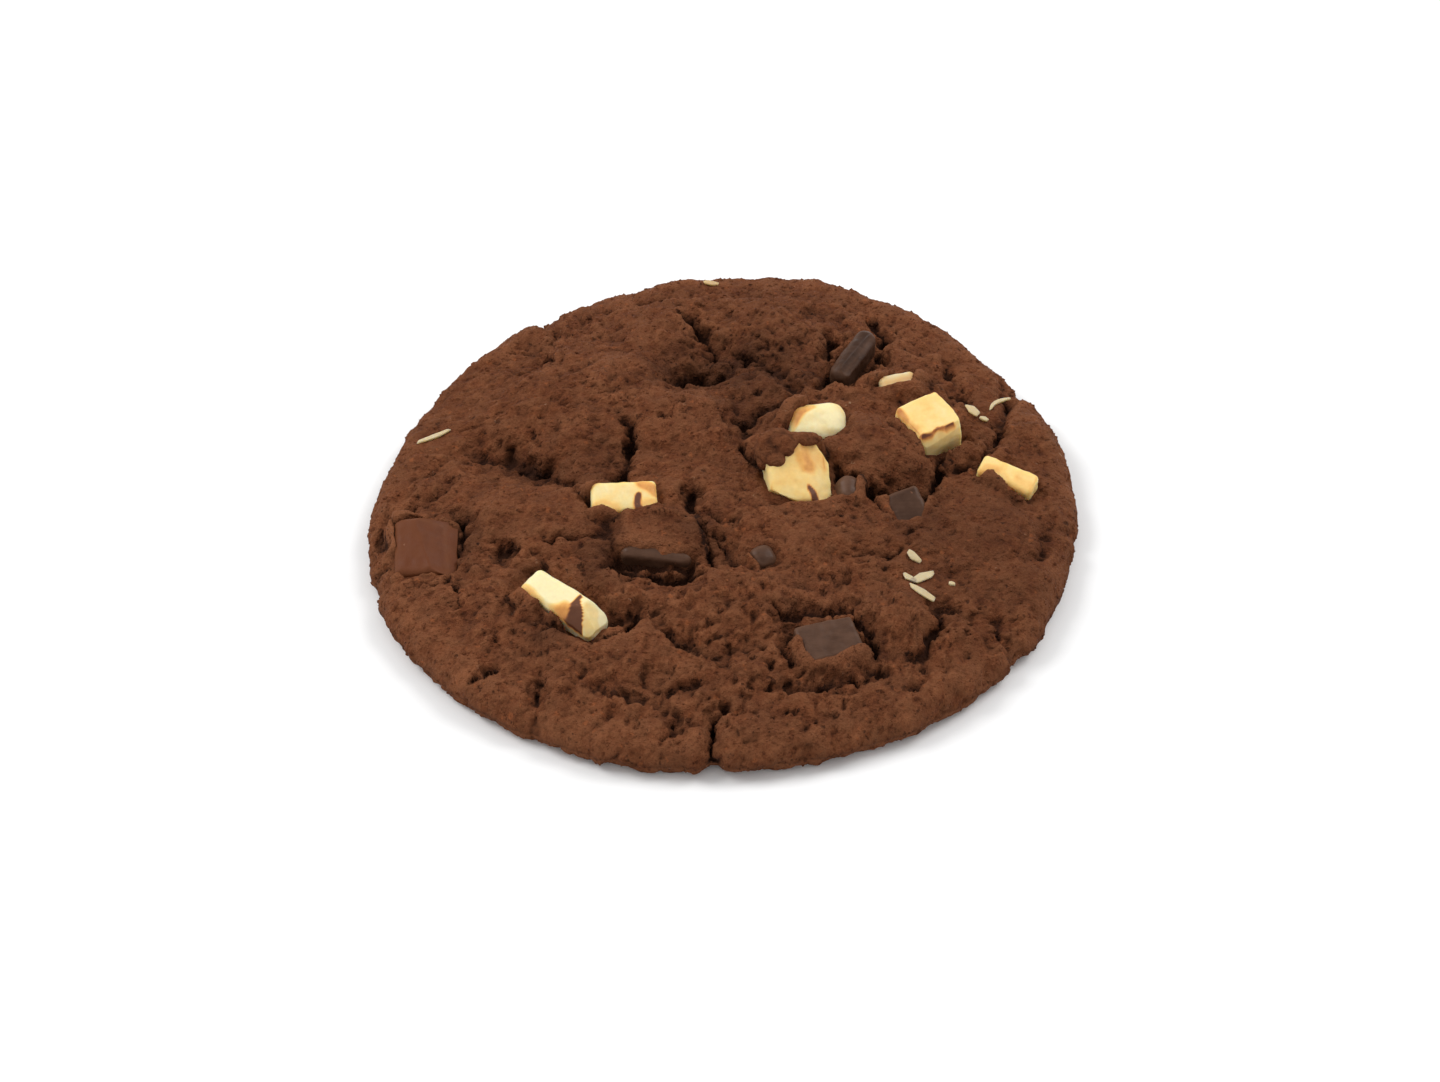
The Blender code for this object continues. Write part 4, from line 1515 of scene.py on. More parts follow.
@dataclass(frozen=True)
class Hollow:
    """Hollows of one size, in cells of the grid, and the shade and light they paint on the dough.

    What is deeper than start mm gets painted shade, gain a mm, and a crest a painted highlight, crest a mm.
    """

    cells: int
    gain: float
    start: float
    crest: float = 0.0

    def depth(self, height: Array) -> Array:
        """How far each point of the top's grid lies below a bell-shaped mean of those round it.

        Args:
            height: heights of the grid in mm, square.

        Returns:
            A depth in mm for each point, negative on what stands proud.
        """
        reach = 2 * self.cells
        offsets = np.arange(-reach, reach + 1)
        weights = np.exp(-((offsets / self.cells) ** 2))
        mean = height
        for axis in (0, 1):
            padding = [(0, 0), (0, 0)]
            padding[axis] = (reach, reach)
            padded = np.pad(mean, padding, mode="edge")
            strips = (np.take(padded, np.arange(mean.shape[axis]) + reach + step, axis) for step in offsets)
            mean = sum(weight * strip for weight, strip in zip(weights, strips)) / weights.sum()
        return mean - height


@dataclass(frozen=True)
class Dough:
    """The dough as one closed skin: the top, the side down to the foot, and the flat base.

    Its sizes are in mm. The grain_shares are how much grain shows on a smooth crust, and how much
    more on a crumbly one.
    """

    form: DoughForm
    cells: int = 284
    foot_insets: tuple[float, ...] = (0.0, 0.25, 0.9, 1.8)
    foot_heights: tuple[float, ...] = (2.2, 1.2, 0.4, 0.0)
    side_rings: int = 8
    side_crack_share: float = 0.5
    base_insets: tuple[float, ...] = (6.0, 16.0, 30.0, 44.0)
    base_top: float = 0.01
    lowest_side: float = 0.05
    clods: Pebbles = Pebbles(Cells(3.3, 61), 0.96, 0.7)
    lumps: Pebbles = Pebbles(Cells(1.9, 62), 0.84, 0.7)
    grains: Pebbles = Pebbles(Cells(1.05, 69), 0.44, 0.65)
    fine: SolidNoise = SolidNoise(1.0, 63)
    fine_warp: float = 0.4
    finest: SolidNoise = SolidNoise(0.6, 64)
    finest_height: float = 0.12
    lumpy: SolidNoise = SolidNoise(3.4, 72)
    lumpy_height: float = 0.32
    ragged: SolidNoise = SolidNoise(1.8, 66)
    plates: SolidNoise = SolidNoise(5.5, 65)
    plate_height: float = 0.36
    plate_edge: Fade = Fade(1.0, 0.24, -0.12)
    plate_raggedness: float = 0.4
    plate_seams: Cells = Cells(7.5, 70)
    seam_width: float = 0.7
    seam_warp: float = 0.9
    seam_depth: Fade = Fade(0.3, 0.3, -0.05)
    pits: SolidNoise = SolidNoise(1.25, 68)
    pit_depth: Fade = Fade(0.5, 0.3, 0.30)
    crags: SolidNoise = SolidNoise(10.0, 67)
    crag_share: float = 0.4
    mean_crumble: float = 0.55
    pillow_calm: Fade = Fade(0.25, 1.8)
    front_crumble: Fade = Fade(0.40, 36.0)
    crack_crumble: Fade = Fade(0.4, 1.2)
    crumble_range: Pair = (0.15, 1.25)
    grain_shares: Pair = (0.7, 0.3)
    rim_band: float = 1.0
    rim_relief: float = 0.55
    inner_relief: Fade = Fade(0.45, 5.0)
    chunk_calm: float = 0.55
    chunk_calm_reach: float = 1.2
    # Painted shade in hollows and deep cracks, painted highlights on crests, and painted light at the rim
    hollows: tuple[Hollow, ...] = (
        Hollow(2, 1.9, 0.08, 0.7), Hollow(6, 0.34, 0.15, 0.14), Hollow(15, 0.14, 0.2)
    )
    lightest_crest: float = 0.35
    crack_shade: float = 0.10
    crack_shade_start: float = 1.1
    darkest: float = 0.88
    back_blotches: Fade = Fade(0.9, 25.0, 5.0)
    painted_rim_light: Fade = Fade(0.15, 4.0, -5.0)

    def skin(self) -> tuple[Array, list[Array], Array, Array]:
        """The closed surface before its fine relief.

        The top is a grid of cells by cells. Its rim is carried down the foot's profile as rings,
        and in over the base as rings that shrink to one point.

        Returns:
            Points in mm, the faces, and each point's depth of cracks and nearness to their core.
        """
        steps = np.linspace(-1.0, 1.0, self.cells + 1)
        u, v = np.meshgrid(steps, steps, indexing="ij")
        top, cracks, cores = self.form.top_points(u.ravel(), v.ravel())
        index = np.arange(len(top)).reshape(self.cells + 1, self.cells + 1)
        quads = [grid_faces(index)]
        rim = np.concatenate([index[:-1, 0], index[-1, :-1], index[:0:-1, -1], index[0, :0:-1]])
        edge = top[rim, :2]
        outward = edge / np.linalg.norm(edge, axis=1, keepdims=True)
        stations = np.arange(len(self.foot_insets))
        along = np.linspace(0.0, 1.0, self.side_rings + 1)[1:] * stations[-1]
        insets = np.concatenate([np.interp(along, stations, self.foot_insets), self.base_insets])
        foot = np.interp(along, stations, self.foot_heights)
        heights = np.concatenate([foot, np.zeros(len(self.base_insets))])
        rings = [
            np.column_stack([edge - outward * inset, np.full(len(edge), height)])
            for inset, height in zip(insets, heights)
        ]
        points = np.concatenate([top, *rings, [[0.0, 0.0, 0.0]]])
        upper = rim
        for number in range(len(rings)):
            lower = len(top) + number * len(rim) + np.arange(len(rim))
            quads.append(np.stack([upper, lower, np.roll(lower, -1), np.roll(upper, -1)], axis=-1))
            upper = lower
        centre = np.full(len(rim), len(points) - 1)
        fan = np.stack([upper, centre, np.roll(upper, -1)], axis=-1)
        deep, near = (
            np.concatenate([values, np.tile(self.side_crack_share * values[rim], len(rings)), [0.0]])
            for values in (cracks, cores)
        )
        return points, [np.concatenate(quads), fan], deep, near

    def crumble(self, points: Array, cracks: Array) -> Array:
        """How crumbly the crust is: least where a pillow baked smooth, most in cracks and crags.

        Args:
            points: places on the bare skin, in mm.
            cracks: the depth of the cracks there.

        Returns:
            One value within crumble_range for each place.
        """
        x, y = points[:, 0], points[:, 1]
        patches = self.mean_crumble + self.crag_share * self.crags.at(points)
        patches = patches + sum(lobe.rise(x, y) for lobe in CRUST.values())
        broken = patches + self.front_crumble.at(-y) + self.crack_crumble.at(cracks)
        return np.clip(broken - self.pillow_calm.at(self.form.swell(x, y)), *self.crumble_range)

    def relief(self, points: Array, cracks: Array) -> Array:
        """Height of the crumb above the bare skin.

        A crumbly crust has clods, lumps and pits. All of it has soft lumps, low plates, seams
        between them, small grains and fine noise, less so at the rim and round the chunks.

        Args:
            points: places on the bare skin, in mm.
            cracks: the depth of the cracks there.

        Returns:
            One height in mm for each place.
        """
        crumbly = self.crumble(points, cracks)
        warped = points + self.fine_warp * self.fine.at(points)[:, None]
        clods = self.clods.at(warped) + self.lumps.at(warped)
        pits = self.pit_depth.at(-self.pits.at(warped))
        ragged = self.ragged.at(points)
        plates = self.plate_edge.at(self.plates.at(points) + self.plate_raggedness * ragged)
        plates = self.plate_height * (plates - 0.5)
        seams = self.plate_seams.seams(points + self.seam_warp * ragged[:, None], self.seam_width)
        seams = self.seam_depth.at(self.plates.at(points + 40.0)) * seams
        grains = self.grains.at(points) + self.finest_height * self.finest.at(points)
        grains = (self.grain_shares[0] + self.grain_shares[1] * crumbly) * grains
        lumpy = self.lumpy_height * self.lumpy.at(points)
        relief = crumbly * (clods - pits) + lumpy + plates - seams + grains
        inside = self.form.mean_radius - self.rim_band - np.hypot(*points[:, :2].T)
        calm = 1.0 - self.chunk_calm * self.near_chunks(points)
        return (self.rim_relief + self.inner_relief.at(inside)) * calm * relief

    def near_chunks(self, points: Array) -> Array:
        """How near each place is to the roof of a chunk or to a sliver.

        Args:
            points: places on the bare skin, in mm.

        Returns:
            1 over one, falling to 0 at chunk_calm_reach from it.
        """
        x, y = points[:, 0], points[:, 1]
        margins = [chunk.margin(x, y, chunk.roof(x, y)) for chunk in self.form.chunks]
        for sliver in SLIVERS.values():
            away = np.hypot(x - sliver.centre[0], y - sliver.centre[1])
            margins.append(0.5 * sliver.length - away)
        return smooth_step(np.max(margins, axis=0) / self.chunk_calm_reach + 1.0)

    def shading(self, points: Array, cracks: Array) -> tuple[Array, Array]:
        """How much shade and light are painted on each point.

        Painted shade from hollows of three sizes, the shaded lobes and deep cracks darkens it. A painted
        highlight on crests, painted light at the rim, and blotches that are stronger at the back change the
        tone.

        Args:
            points: the finished points in mm, the top's grid first.
            cracks: the depth of the cracks at each.

        Returns:
            The painted shade from 0 to 1, and a tone, with painted light in it, that is added to the
            dough's.
        """
        side = self.cells + 1
        grid = points[: side * side, 2].reshape(side, side)
        hollow, crest = np.zeros((2, side * side))
        # Painted shade in the hollows, and a painted highlight on the crests
        for size in self.hollows:
            depth = size.depth(grid).ravel()
            hollow = hollow + size.gain * np.maximum(depth - size.start, 0.0)
            crest = crest + size.crest * np.maximum(-depth, 0.0)
        painted_shade, tone = np.zeros((2, len(points)))
        painted_shade[: side * side] = hollow
        tone[: side * side] = np.clip(crest, 0.0, self.lightest_crest)
        x, y = points[:, 0], points[:, 1]
        # Painted shade over the shaded lobes and in the deep cracks
        shade = -sum(lobe.rise(x, y) for lobe in PAINTED_SHADE.values())
        painted_shade += shade * (0.8 + 0.4 * self.ragged.at(points))
        painted_shade += self.crack_shade * np.maximum(cracks - self.crack_shade_start, 0.0)
        blotches = 0.08 * self.lumpy.at(points + 20.0) + 0.06 * self.ragged.at(points + 30.0)
        tone += (1.0 + self.back_blotches.at(y)) * blotches
        # Painted light at the rim
        tone += self.painted_rim_light.at(np.hypot(x, y) - self.form.mean_radius)
        return np.clip(painted_shade, 0.0, self.darkest), tone

    def build(self, material: Material) -> Piece:
        """Makes the mesh, pushes its points along their normals by the relief, and dresses it.

        Args:
            material: the dough's finish.

        Returns:
            The dough's object, which stands for the solid of that name.
        """
        points, faces, cracks, cores = self.skin()
        piece = new_piece("baked_dough", points, faces, material)
        normals = read(piece.data.vertices, "normal")
        relief = self.relief(points, cracks)
        base = points[:, 2] < self.base_top
        relief[base] = 0.0
        points = points + normals * relief[:, None]
        points[~base, 2] = np.maximum(points[~base, 2], self.lowest_side)
        set_places(piece.data, points)
        # Painted shade and painted light, kept on the mesh for the finish
        painted_shade, tone = self.shading(points, cracks)
        set_numbers(piece.data, {"painted_shade": painted_shade, "tone": tone, "crack": cores})
        piece.data.update()
        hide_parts("dough")
        return piece


@dataclass(frozen=True)
class ChocolateChunk:
    """One chunk as a worn block of chocolate."""

    node: str
    kind: Chocolate
    chunk: Chunk
    seed: int
    cells: int = 36
    broad_wear: float = 0.14
    fine_wear: float = 0.08
    chance_fade: Fade = Fade(1.0, 0.4, 0.45)
    edge_toast: float = 0.36
    top_toast: float = 0.08
    roof_band: float = 0.9
    stain_fade: Fade = Fade(1.0, 0.8, -1.35)
    lip_fade: Fade = Fade(1.0, 0.5, -1.35)
    lip_toast: float = 0.44

    def cube_points(self) -> tuple[Array, Array]:
        """The surface of a cube from -1 to 1 as six square grids, welded at their borders.

        Returns:
            The points, one a row, and the square faces.
        """
        steps = np.linspace(-1.0, 1.0, self.cells + 1)
        a, b = np.meshgrid(steps, steps, indexing="ij")
        quad = grid_faces(np.arange(a.size).reshape(a.shape))
        sides, quads = [], []
        for axis, sign in itertools.product(range(3), (-1.0, 1.0)):
            side = np.empty((a.size, 3))
            side[:, axis] = sign
            side[:, (axis + 1) % 3] = a.ravel()
            side[:, (axis + 2) % 3] = b.ravel()
            quads.append((quad if sign > 0 else quad[:, ::-1]) + len(sides) * a.size)
            sides.append(side)
        every = np.concatenate(sides)
        _, first, inverse = np.unique(np.round(every, 6), axis=0, return_index=True, return_inverse=True)
        return every[first], inverse.reshape(-1)[np.concatenate(quads)]

    def surface(self) -> tuple[Array, Array, Array, Array]:
        """The worn block.

        Each point of the cube is scaled to the block, pulled in to a rounded edge, pressed behind
        the cutting planes, and moved along its normal by noise.

        Returns:
            Points in the block's axes, faces, how near each point is to an edge, and normals.
        """
        cube, faces = self.cube_points()
        half = self.chunk.half
        rounding = min(self.chunk.rounding, half.min() * 0.95)
        flat = cube * half
        core = np.clip(flat, rounding - half, half - rounding)
        normals = flat - core
        normals /= np.linalg.norm(normals, axis=1, keepdims=True)
        points = core + rounding * normals
        for cut in self.chunk.cuts:
            outward = np.array(cut.direction) @ self.chunk.axes / np.linalg.norm(cut.direction)
            past = np.maximum(points @ outward - cut.reach, 0.0)
            points = points - past[:, None] * outward
        edge = 1.0 - np.abs(normals).max(axis=1)
        worn = self.broad_wear * SolidNoise(3.1, self.seed).at(points)
        worn = worn + self.fine_wear * SolidNoise(0.9, self.seed + 1).at(points)
        points = points + normals * worn[:, None]
        return points, faces, np.clip(edge / 0.3, 0.0, 1.0), normals

    def toasting(self, points: Array, edge: Array, normals: Array) -> Array:
        """How brown each point is.

        It is warm all over, more along the upper edges by chance, and more near the roof under
        the stains and beside the lips.

        Args:
            points: places in mm, in the tables' frame.
            edge: how near each point is to an edge, from 0 to 1.
            normals: in the tables' frame.

        Returns:
            Values from 0 for cream to 1 for dough brown.
        """
        chance = 0.5 + 0.5 * SolidNoise(2.4, self.seed + 2).at(points)
        upper = np.clip(normals[:, 2] * 1.5, 0.0, 1.0)
        x, y, height = points.T
        rubbed = self.edge_toast * min(max(0.5 + 4.0 * self.chunk.warmth, 0.0), 1.0)
        toast = rubbed * edge * upper * self.chance_fade.at(chance) + self.top_toast * upper * chance
        toast = toast + self.chunk.warmth
        top = np.exp(-(((self.chunk.roof(x, y) - height) / self.roof_band) ** 2))
        for stain in self.chunk.stains:
            share = top * self.stain_fade.at(-stain.reach(x, y))
            toast = toast + share * np.maximum(stain.amount - toast, 0.0)
        for lip in self.chunk.drapes:
            share = top * self.lip_fade.at(-lip.reach(x, y))
            toast = toast + share * np.maximum(self.lip_toast - toast, 0.0)
        return toast

    def build(self, material: Material) -> Piece:
        """Makes the chunk's mesh in its place.

        Args:
            material: the chocolate's finish.

        Returns:
            The chunk's object, which stands for its solid.
        """
        points, faces, edge, normals = self.surface()
        axes = self.chunk.axes
        placed = points @ axes.T + self.chunk.centre
        numbers = {
            "edge": edge,
            "toast": self.toasting(placed, edge, normals @ axes.T),
            "dust_and_shade": np.full(len(placed), self.chunk.dust_and_shade),
        }
        piece = new_piece(self.node.replace("chunk", "piece"), placed, [faces], material, numbers)
        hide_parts(self.node)
        return piece


@dataclass(frozen=True)
class Cap:
    """A rounded lump of dough that laps over a chunk, tilted up at its back."""

    centre: Triple
    half_sizes: Triple
    tilt: float


CAPS = (
    Cap((7.7, 1.5, 14.2), (2.9, 2.2, 1.05), 32),
    Cap((7.0, -0.1, 13.35), (1.8, 1.8, 0.7), 34),
    Cap((11.2, 2.6, 14.3), (2.8, 1.0, 0.7), 32),
    Cap((8.4, 4.0, 12.2), (3.8, 2.3, 1.6), 0),
    Cap((6.5, 2.3, 11.5), (2.4, 2.7, 2.6), 30),
    Cap((8.6, 4.2, 11.0), (4.0, 2.6, 2.6), 0),
)


@dataclass(frozen=True)
class CapSet:
    """The lumps of dough that lap over a chunk, joined in one mesh."""

    bands: int = 36
    columns: int = 60
    clods: Pebbles = Pebbles(Cells(1.5, 83), 0.22, 0.7)
    lumps: SolidNoise = SolidNoise(1.7, 81)
    lump_share: float = 0.14
    fine: SolidNoise = SolidNoise(0.7, 82)
    fine_share: float = 0.05

    def lump(self, cap: Cap) -> Shell:
        """One lump: a ball stretched to its half sizes, tilted, and made uneven by clods and noise.

        Args:
            cap: its place and size.

        Returns:
            Points in mm, and its faces as quads and triangles.
        """
        down = np.linspace(0.0, np.pi, self.bands + 1)[1:-1, None]
        turn = np.linspace(0.0, 2.0 * np.pi, self.columns, endpoint=False)[None, :]
        level = np.cos(down) + 0.0 * turn
        rings = np.stack([np.sin(down) * np.cos(turn), np.sin(down) * np.sin(turn), level], axis=-1)
        ball = np.concatenate([[[0.0, 0.0, 1.0]], rings.reshape(-1, 3), [[0.0, 0.0, -1.0]]])
        tip = math.radians(cap.tilt)
        rotation = np.array([
            [1.0, 0.0, 0.0],
            [0.0, math.cos(tip), -math.sin(tip)],
            [0.0, math.sin(tip), math.cos(tip)],
        ])
        points = np.array(cap.centre) + (ball * cap.half_sizes) @ rotation.T
        rough = 1.0 + self.lump_share * self.lumps.at(points) + self.fine_share * self.fine.at(points)
        rough += self.clods.at(points)
        points = np.array(cap.centre) + (points - cap.centre) * rough[:, None]
        return points, ring_faces(self.bands - 1, self.columns)

    def build(self, material: Material) -> Piece:
        """Joins the lumps in one mesh with the dough's finish.

        Args:
            material: the dough's finish.

        Returns:
            The mesh's object.
        """
        points, faces = join_shells([self.lump(cap) for cap in CAPS])
        # Painted shade between the clods of the caps
        painted_shade = 1.1 * (0.75 - self.clods.cells.pebbles(points))
        numbers = {
            "tone": 0.05 + 0.15 * self.lumps.at(points + 9.0),
            "painted_shade": np.clip(painted_shade, 0.0, 0.6),
        }
        piece = new_piece("dough_caps", points, faces, material, numbers)
        return piece


@dataclass(frozen=True)
class SliverSet:
    """The slivers of white chocolate, each a thin flat scrap, joined in one mesh.

    A ring is given as a share of the scrap's outline and a share of its thickness below its top.
    """

    form: DoughForm
    thickness: float = 0.4
    proud: float = 0.42
    corners: int = 6
    corner_shift: float = 0.3
    edge_range: Pair = (0.7, 1.05)
    least_facing: float = 0.2
    steps: int = 36
    seed: int = 300
    dust_and_shade: float = 0.64
    rings: tuple[Pair, ...] = ((0.35, 0.0), (0.75, 0.0), (0.97, 0.15), (1.0, 0.5), (0.9, 1.0), (0.4, 1.0))

    def outline(self, angle: Array, seed: int) -> Array:
        """The edge of a scrap: the nearest of a few straight lines set at uneven turns round it.

        Args:
            angle: directions in radians.
            seed: picks the lines.

        Returns:
            One distance for each direction, near 1.
        """
        draw = np.random.default_rng(seed)
        shifts = draw.uniform(-self.corner_shift, self.corner_shift, self.corners)
        turns = 2.0 * np.pi * (np.arange(self.corners) + shifts) / self.corners
        reach = draw.uniform(*self.edge_range, self.corners)
        facing = np.cos(angle[:, None] - turns)
        lines = reach / np.maximum(facing, self.least_facing)
        return np.min(np.where(facing > self.least_facing, lines, OUT_OF_REACH), axis=1)

    def flake(self, sliver: Sliver, seed: int) -> Shell:
        """One scrap: rings of its outline, from the middle of its top round its edge to its underside.

        Args:
            sliver: its place and size.
            seed: for its outline.

        Returns:
            Points in mm, and its faces as quads and triangles.
        """
        angle = np.linspace(0.0, 2.0 * np.pi, self.steps, endpoint=False)
        edge = self.outline(angle, seed)
        across, along, depth = [], [], []
        for share, down in ((0.0, 0.0), *self.rings, (0.0, 1.0)):
            count = 1 if share == 0.0 else self.steps
            across.append(share * (edge * np.cos(angle))[:count] * sliver.length / 2.0)
            along.append(share * (edge * np.sin(angle))[:count] * sliver.width / 2.0)
            depth.append(np.full(count, down * self.thickness))
        east, north, down = (np.concatenate(values) for values in (across, along, depth))
        north = north + sliver.bend * (1.0 - (2.0 * east / sliver.length) ** 2)
        turn = math.radians(sliver.turn)
        x = sliver.centre[0] + east * math.cos(turn) - north * math.sin(turn)
        y = sliver.centre[1] + east * math.sin(turn) + north * math.cos(turn)
        height = self.form.whole_height(x, y) + self.proud - down
        return np.column_stack([x, y, height]), ring_faces(len(self.rings), self.steps)

    def build(self, material: Material) -> Piece:
        """Joins the flakes in one mesh.

        Args:
            material: the white chocolate's finish.

        Returns:
            The slivers' object.
        """
        shells = [self.flake(sliver, self.seed + number) for number, sliver in enumerate(SLIVERS.values())]
        points, faces = join_shells(shells)
        toasts = [np.full(len(flake), sliver.toast) for (flake, _), sliver in zip(shells, SLIVERS.values())]
        numbers = {"dust_and_shade": np.full(len(points), self.dust_and_shade), "toast": np.concatenate(toasts)}
        piece = new_piece("white_slivers", points, faces, material, numbers)
        return piece


@dataclass(frozen=True)
class Crumbs:
    """Grains of dough that stand up from the surface, joined in one mesh.

    Sizes are in mm, and a grain's middle lies sunk times its size below the surface.
    """

    name: str
    count: int
    smallest: float
    largest: float
    sunk: float
    seed: int
    size_bias: float = 2.2
    lowest: float = 0.8
    chunk_gap: float = 0.5
    sliver_share: float = 0.4
    corner_range: Pair = (0.72, 1.25)
    stretch_range: Pair = (0.75, 1.3)
    tone_range: Pair = (-0.12, 0.16)

    @staticmethod
    def grain() -> tuple[Array, Array]:
        """A regular solid of 20 triangles: its corners are (0, 1, golden ratio) turned round.

        Returns:
            Its 12 corners, each 1 from its middle, and its faces.
        """
        golden = (1.0 + math.sqrt(5.0)) / 2.0
        longest_edge = 1.06
        corners = [
            np.roll((0.0, one, golden * other), turn)
            for turn in range(3)
            for one, other in itertools.product((-1.0, 1.0), repeat=2)
        ]
        points = np.array(corners) / math.hypot(1.0, golden)
        faces = []
        for a, b, c in itertools.combinations(range(len(points)), 3):
            spans = [np.linalg.norm(points[i] - points[j]) for i, j in ((a, b), (b, c), (c, a))]
            if max(spans) < longest_edge:
                flip = np.linalg.det(points[[a, b, c]]) < 0.0
                faces.append((a, c, b) if flip else (a, b, c))
        return points, np.array(faces)

    def free_faces(self, mesh: Mesh, chunks: tuple[Chunk, ...]) -> tuple[Array, Array, Array]:
        """Where on the dough a grain may lie: on its top and side, clear of chunks and slivers.

        Args:
            mesh: the finished dough.
            chunks: the blocks to keep clear of.

        Returns:
            Each face's middle in mm, its normal, and its area, which is 0 where none may lie.
        """
        centre = read(mesh.polygons, "center") / MM + MIDDLE
        free = centre[:, 2] > self.lowest
        for chunk in chunks:
            free &= chunk.distance(centre) > self.chunk_gap
        for sliver in SLIVERS.values():
            away = np.hypot(*(centre[:, :2] - sliver.centre).T)
            free &= away > self.sliver_share * sliver.length
        return centre, read(mesh.polygons, "normal"), read(mesh.polygons, "area") * free

    def build(self, dough: Piece, chunks: tuple[Chunk, ...], material: Material) -> Piece:
        """Scatters the grains over the dough's faces by area, clear of the chunks.

        Each one takes the dough's painted shade at the first corner of its face.

        Args:
            dough: the finished dough.
            chunks: the blocks to keep clear of.
            material: the dough's finish.

        Returns:
            The crumbs' object.
        """
        draw = np.random.default_rng(self.seed)
        mesh = dough.data
        centre, normal, weight = self.free_faces(mesh, chunks)
        picked = draw.choice(len(weight), self.count, replace=False, p=weight / weight.sum())
        shape, faces = self.grain()
        chance = draw.uniform(size=self.count) ** self.size_bias
        size = self.smallest * (self.largest / self.smallest) ** chance
        bumpy = draw.uniform(*self.corner_range, (self.count, len(shape), 1))
        stretch = draw.uniform(*self.stretch_range, (self.count, 1, 3))
        grains = shape[None] * bumpy * stretch * (size / 2.0)[:, None, None]
        middles = centre[picked] - normal[picked] * (size * self.sunk)[:, None]
        points = (grains + middles[:, None, :]).reshape(-1, 3)
        index = (faces[None] + (np.arange(self.count) * len(shape))[:, None, None]).reshape(-1, 3)
        corner = read(mesh.polygons, "loop_start", np.int32)[picked]
        vertex = read(mesh.loops, "vertex_index", np.int32)[corner]
        numbers = {
            "tone": np.repeat(draw.uniform(*self.tone_range, self.count), len(shape)),
            "painted_shade": np.repeat(read(mesh.attributes["painted_shade"].data, "value")[vertex], len(shape)),
        }
        piece = new_piece(self.name, points, [index], material, numbers)
        return piece


@dataclass(frozen=True)
class Panel:
    """A square panel of light that faces the cookie: its place and size in m, its power in W."""

    name: str
    place: Triple
    size: float
    power: float

    def build(self) -> None:
        """Adds the light to the scene."""
        panel = bpy.data.lights.new(self.name, "AREA")
        panel.shape = "SQUARE"
        panel.size = self.size
        panel.energy = self.power
        light = bpy.data.objects.new(self.name, panel)
        light.location = self.place
        light.rotation_euler = Vector(self.place).to_track_quat("Z", "Y").to_euler()
        bpy.context.scene.collection.objects.link(light)


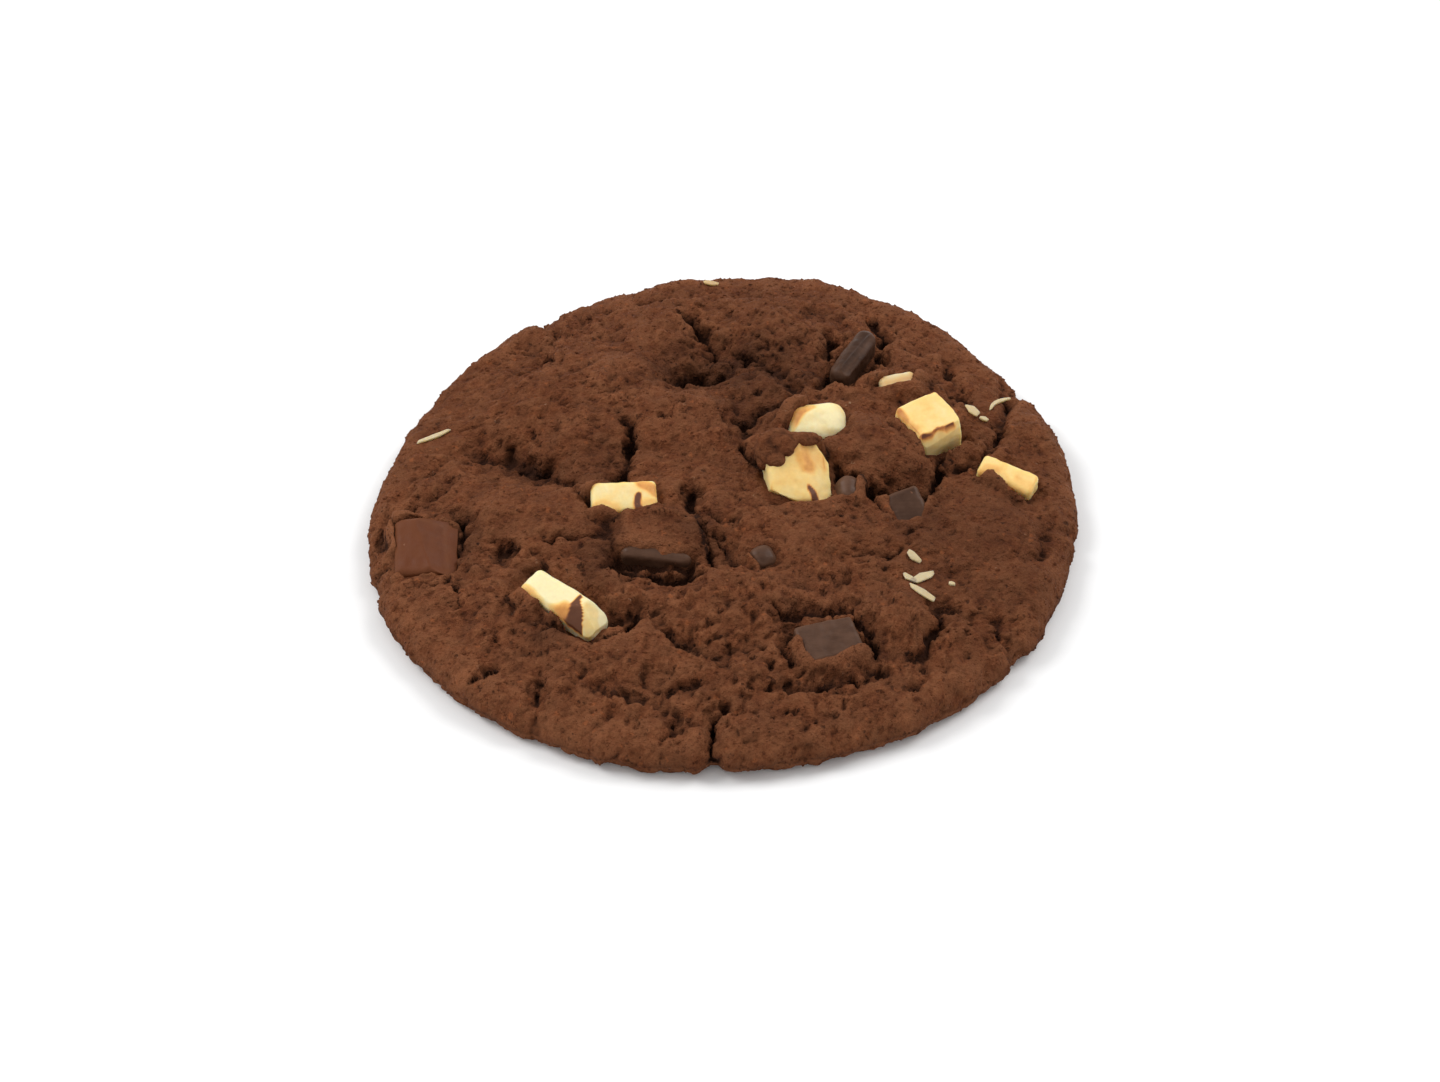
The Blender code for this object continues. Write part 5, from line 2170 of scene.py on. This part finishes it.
@dataclass(frozen=True)
class Studio:
    """A plain white floor, a white dome of light, two soft panels, and the camera.

    Places and distances are in m, the elevation in degrees, the lens and its sensor in mm.
    """

    target: Triple = (-0.00069, -0.00889, 0.0040)
    distance: float = 0.497
    elevation: float = 43.0
    focal: float = 85.0
    sensor: float = 36.0
    clip_range: Pair = (0.01, 20.0)
    floor_half: float = 3.0
    floor_height: float = -0.0001
    dome_strength: float = 0.75
    panels: tuple[Panel, ...] = (
        Panel("left_panel", (-0.86, 0.20, 0.92), 0.6, 8.0),
        Panel("right_panel", (0.74, 0.40, 0.95), 0.6, 6.2),
    )

    def build_floor(self) -> None:
        """A square sheet just under the cookie."""
        mesh = bpy.data.meshes.new("floor")
        half = self.floor_half
        corners = ((-half, -half), (half, -half), (half, half), (-half, half))
        mesh.from_pydata([(x, y, self.floor_height) for x, y in corners], [], [(0, 1, 2, 3)])
        material, graph, shader = new_material("floor_white")
        graph.feed(shader, {
            "Base Color": (0.87, 0.87, 0.87, 1.0),
            "Roughness": 0.9,
            "Specular IOR Level": 0.0,
        })
        mesh.materials.append(material)
        floor = bpy.data.objects.new("floor", mesh)
        bpy.context.scene.collection.objects.link(floor)

    def build_lights(self) -> None:
        """The dome and the panels."""
        world = bpy.data.worlds.new("white_dome")
        world.use_nodes = True
        background = world.node_tree.nodes["Background"]
        background.inputs["Color"].default_value = (1.0, 1.0, 1.0, 1.0)
        background.inputs["Strength"].default_value = self.dome_strength
        bpy.context.scene.world = world
        for panel in self.panels:
            panel.build()

    def build_camera(self) -> None:
        """The camera in front of the cookie, looking down at it."""
        lens = bpy.data.cameras.new("camera")
        lens.lens = self.focal
        lens.sensor_width = self.sensor
        lens.sensor_fit = "HORIZONTAL"
        lens.clip_start, lens.clip_end = self.clip_range
        tilt = math.radians(self.elevation)
        back = np.array((0.0, -math.cos(tilt), math.sin(tilt)))
        camera = bpy.data.objects.new("camera", lens)
        camera.location = np.array(self.target) + back * self.distance
        camera.rotation_euler = (math.pi / 2.0 - tilt, 0.0, 0.0)
        bpy.context.scene.collection.objects.link(camera)
        bpy.context.scene.camera = camera

    def build(self) -> None:
        """Sets the whole studio up, with colours shown as they are."""
        self.build_floor()
        self.build_lights()
        self.build_camera()
        bpy.context.scene.view_settings.view_transform = "Standard"


def main() -> None:
    """Builds the cookie and the studio round it. Each chunk has its own seeds, ten apart."""
    logging.basicConfig(level=logging.INFO, format="%(message)s")
    effects = Effects.make()
    dough_skin = DoughFinish(effects).material()
    dark_body, dark_bloom = (0.036, 0.0150, 0.0075), (0.104, 0.050, 0.029)
    milk_body, milk_bloom = (0.104, 0.0270, 0.0080), (0.130, 0.0410, 0.0140)
    finishes = {
        Chocolate.WHITE: WhiteFinish(effects).material(),
        Chocolate.DARK: CocoaFinish(effects, "dark_chocolate", dark_body, dark_bloom, 0.34).material(),
        Chocolate.MILK: CocoaFinish(effects, "milk_chocolate", milk_body, milk_bloom, 0.48).material(),
    }
    sets = {Chocolate.WHITE: WHITE_CHUNKS, Chocolate.DARK: DARK_CHUNKS, Chocolate.MILK: MILK_CHUNKS}
    every = tuple(chunk for chunks in sets.values() for chunk in chunks)
    form = DoughForm(every)
    dough = Dough(form).build(dough_skin)
    seeds = itertools.count(100, 10)
    for kind, chunks in sets.items():
        name = kind.value.replace("chocolate", "chunk")
        for number, chunk in enumerate(chunks, 1):
            node = f"{name}_{number}" if len(chunks) > 1 else name
            ChocolateChunk(node, kind, chunk, next(seeds)).build(finishes[kind])
    SliverSet(form).build(finishes[Chocolate.WHITE])
    CapSet().build(dough_skin)
    Crumbs("fine_crumbs", 9000, 0.30, 0.85, 0.22, 71).build(dough, every, dough_skin)
    Crumbs("coarse_crumbs", 4200, 0.60, 1.35, 0.34, 72).build(dough, every, dough_skin)
    Studio().build()


if __name__ == "__main__":
    main()
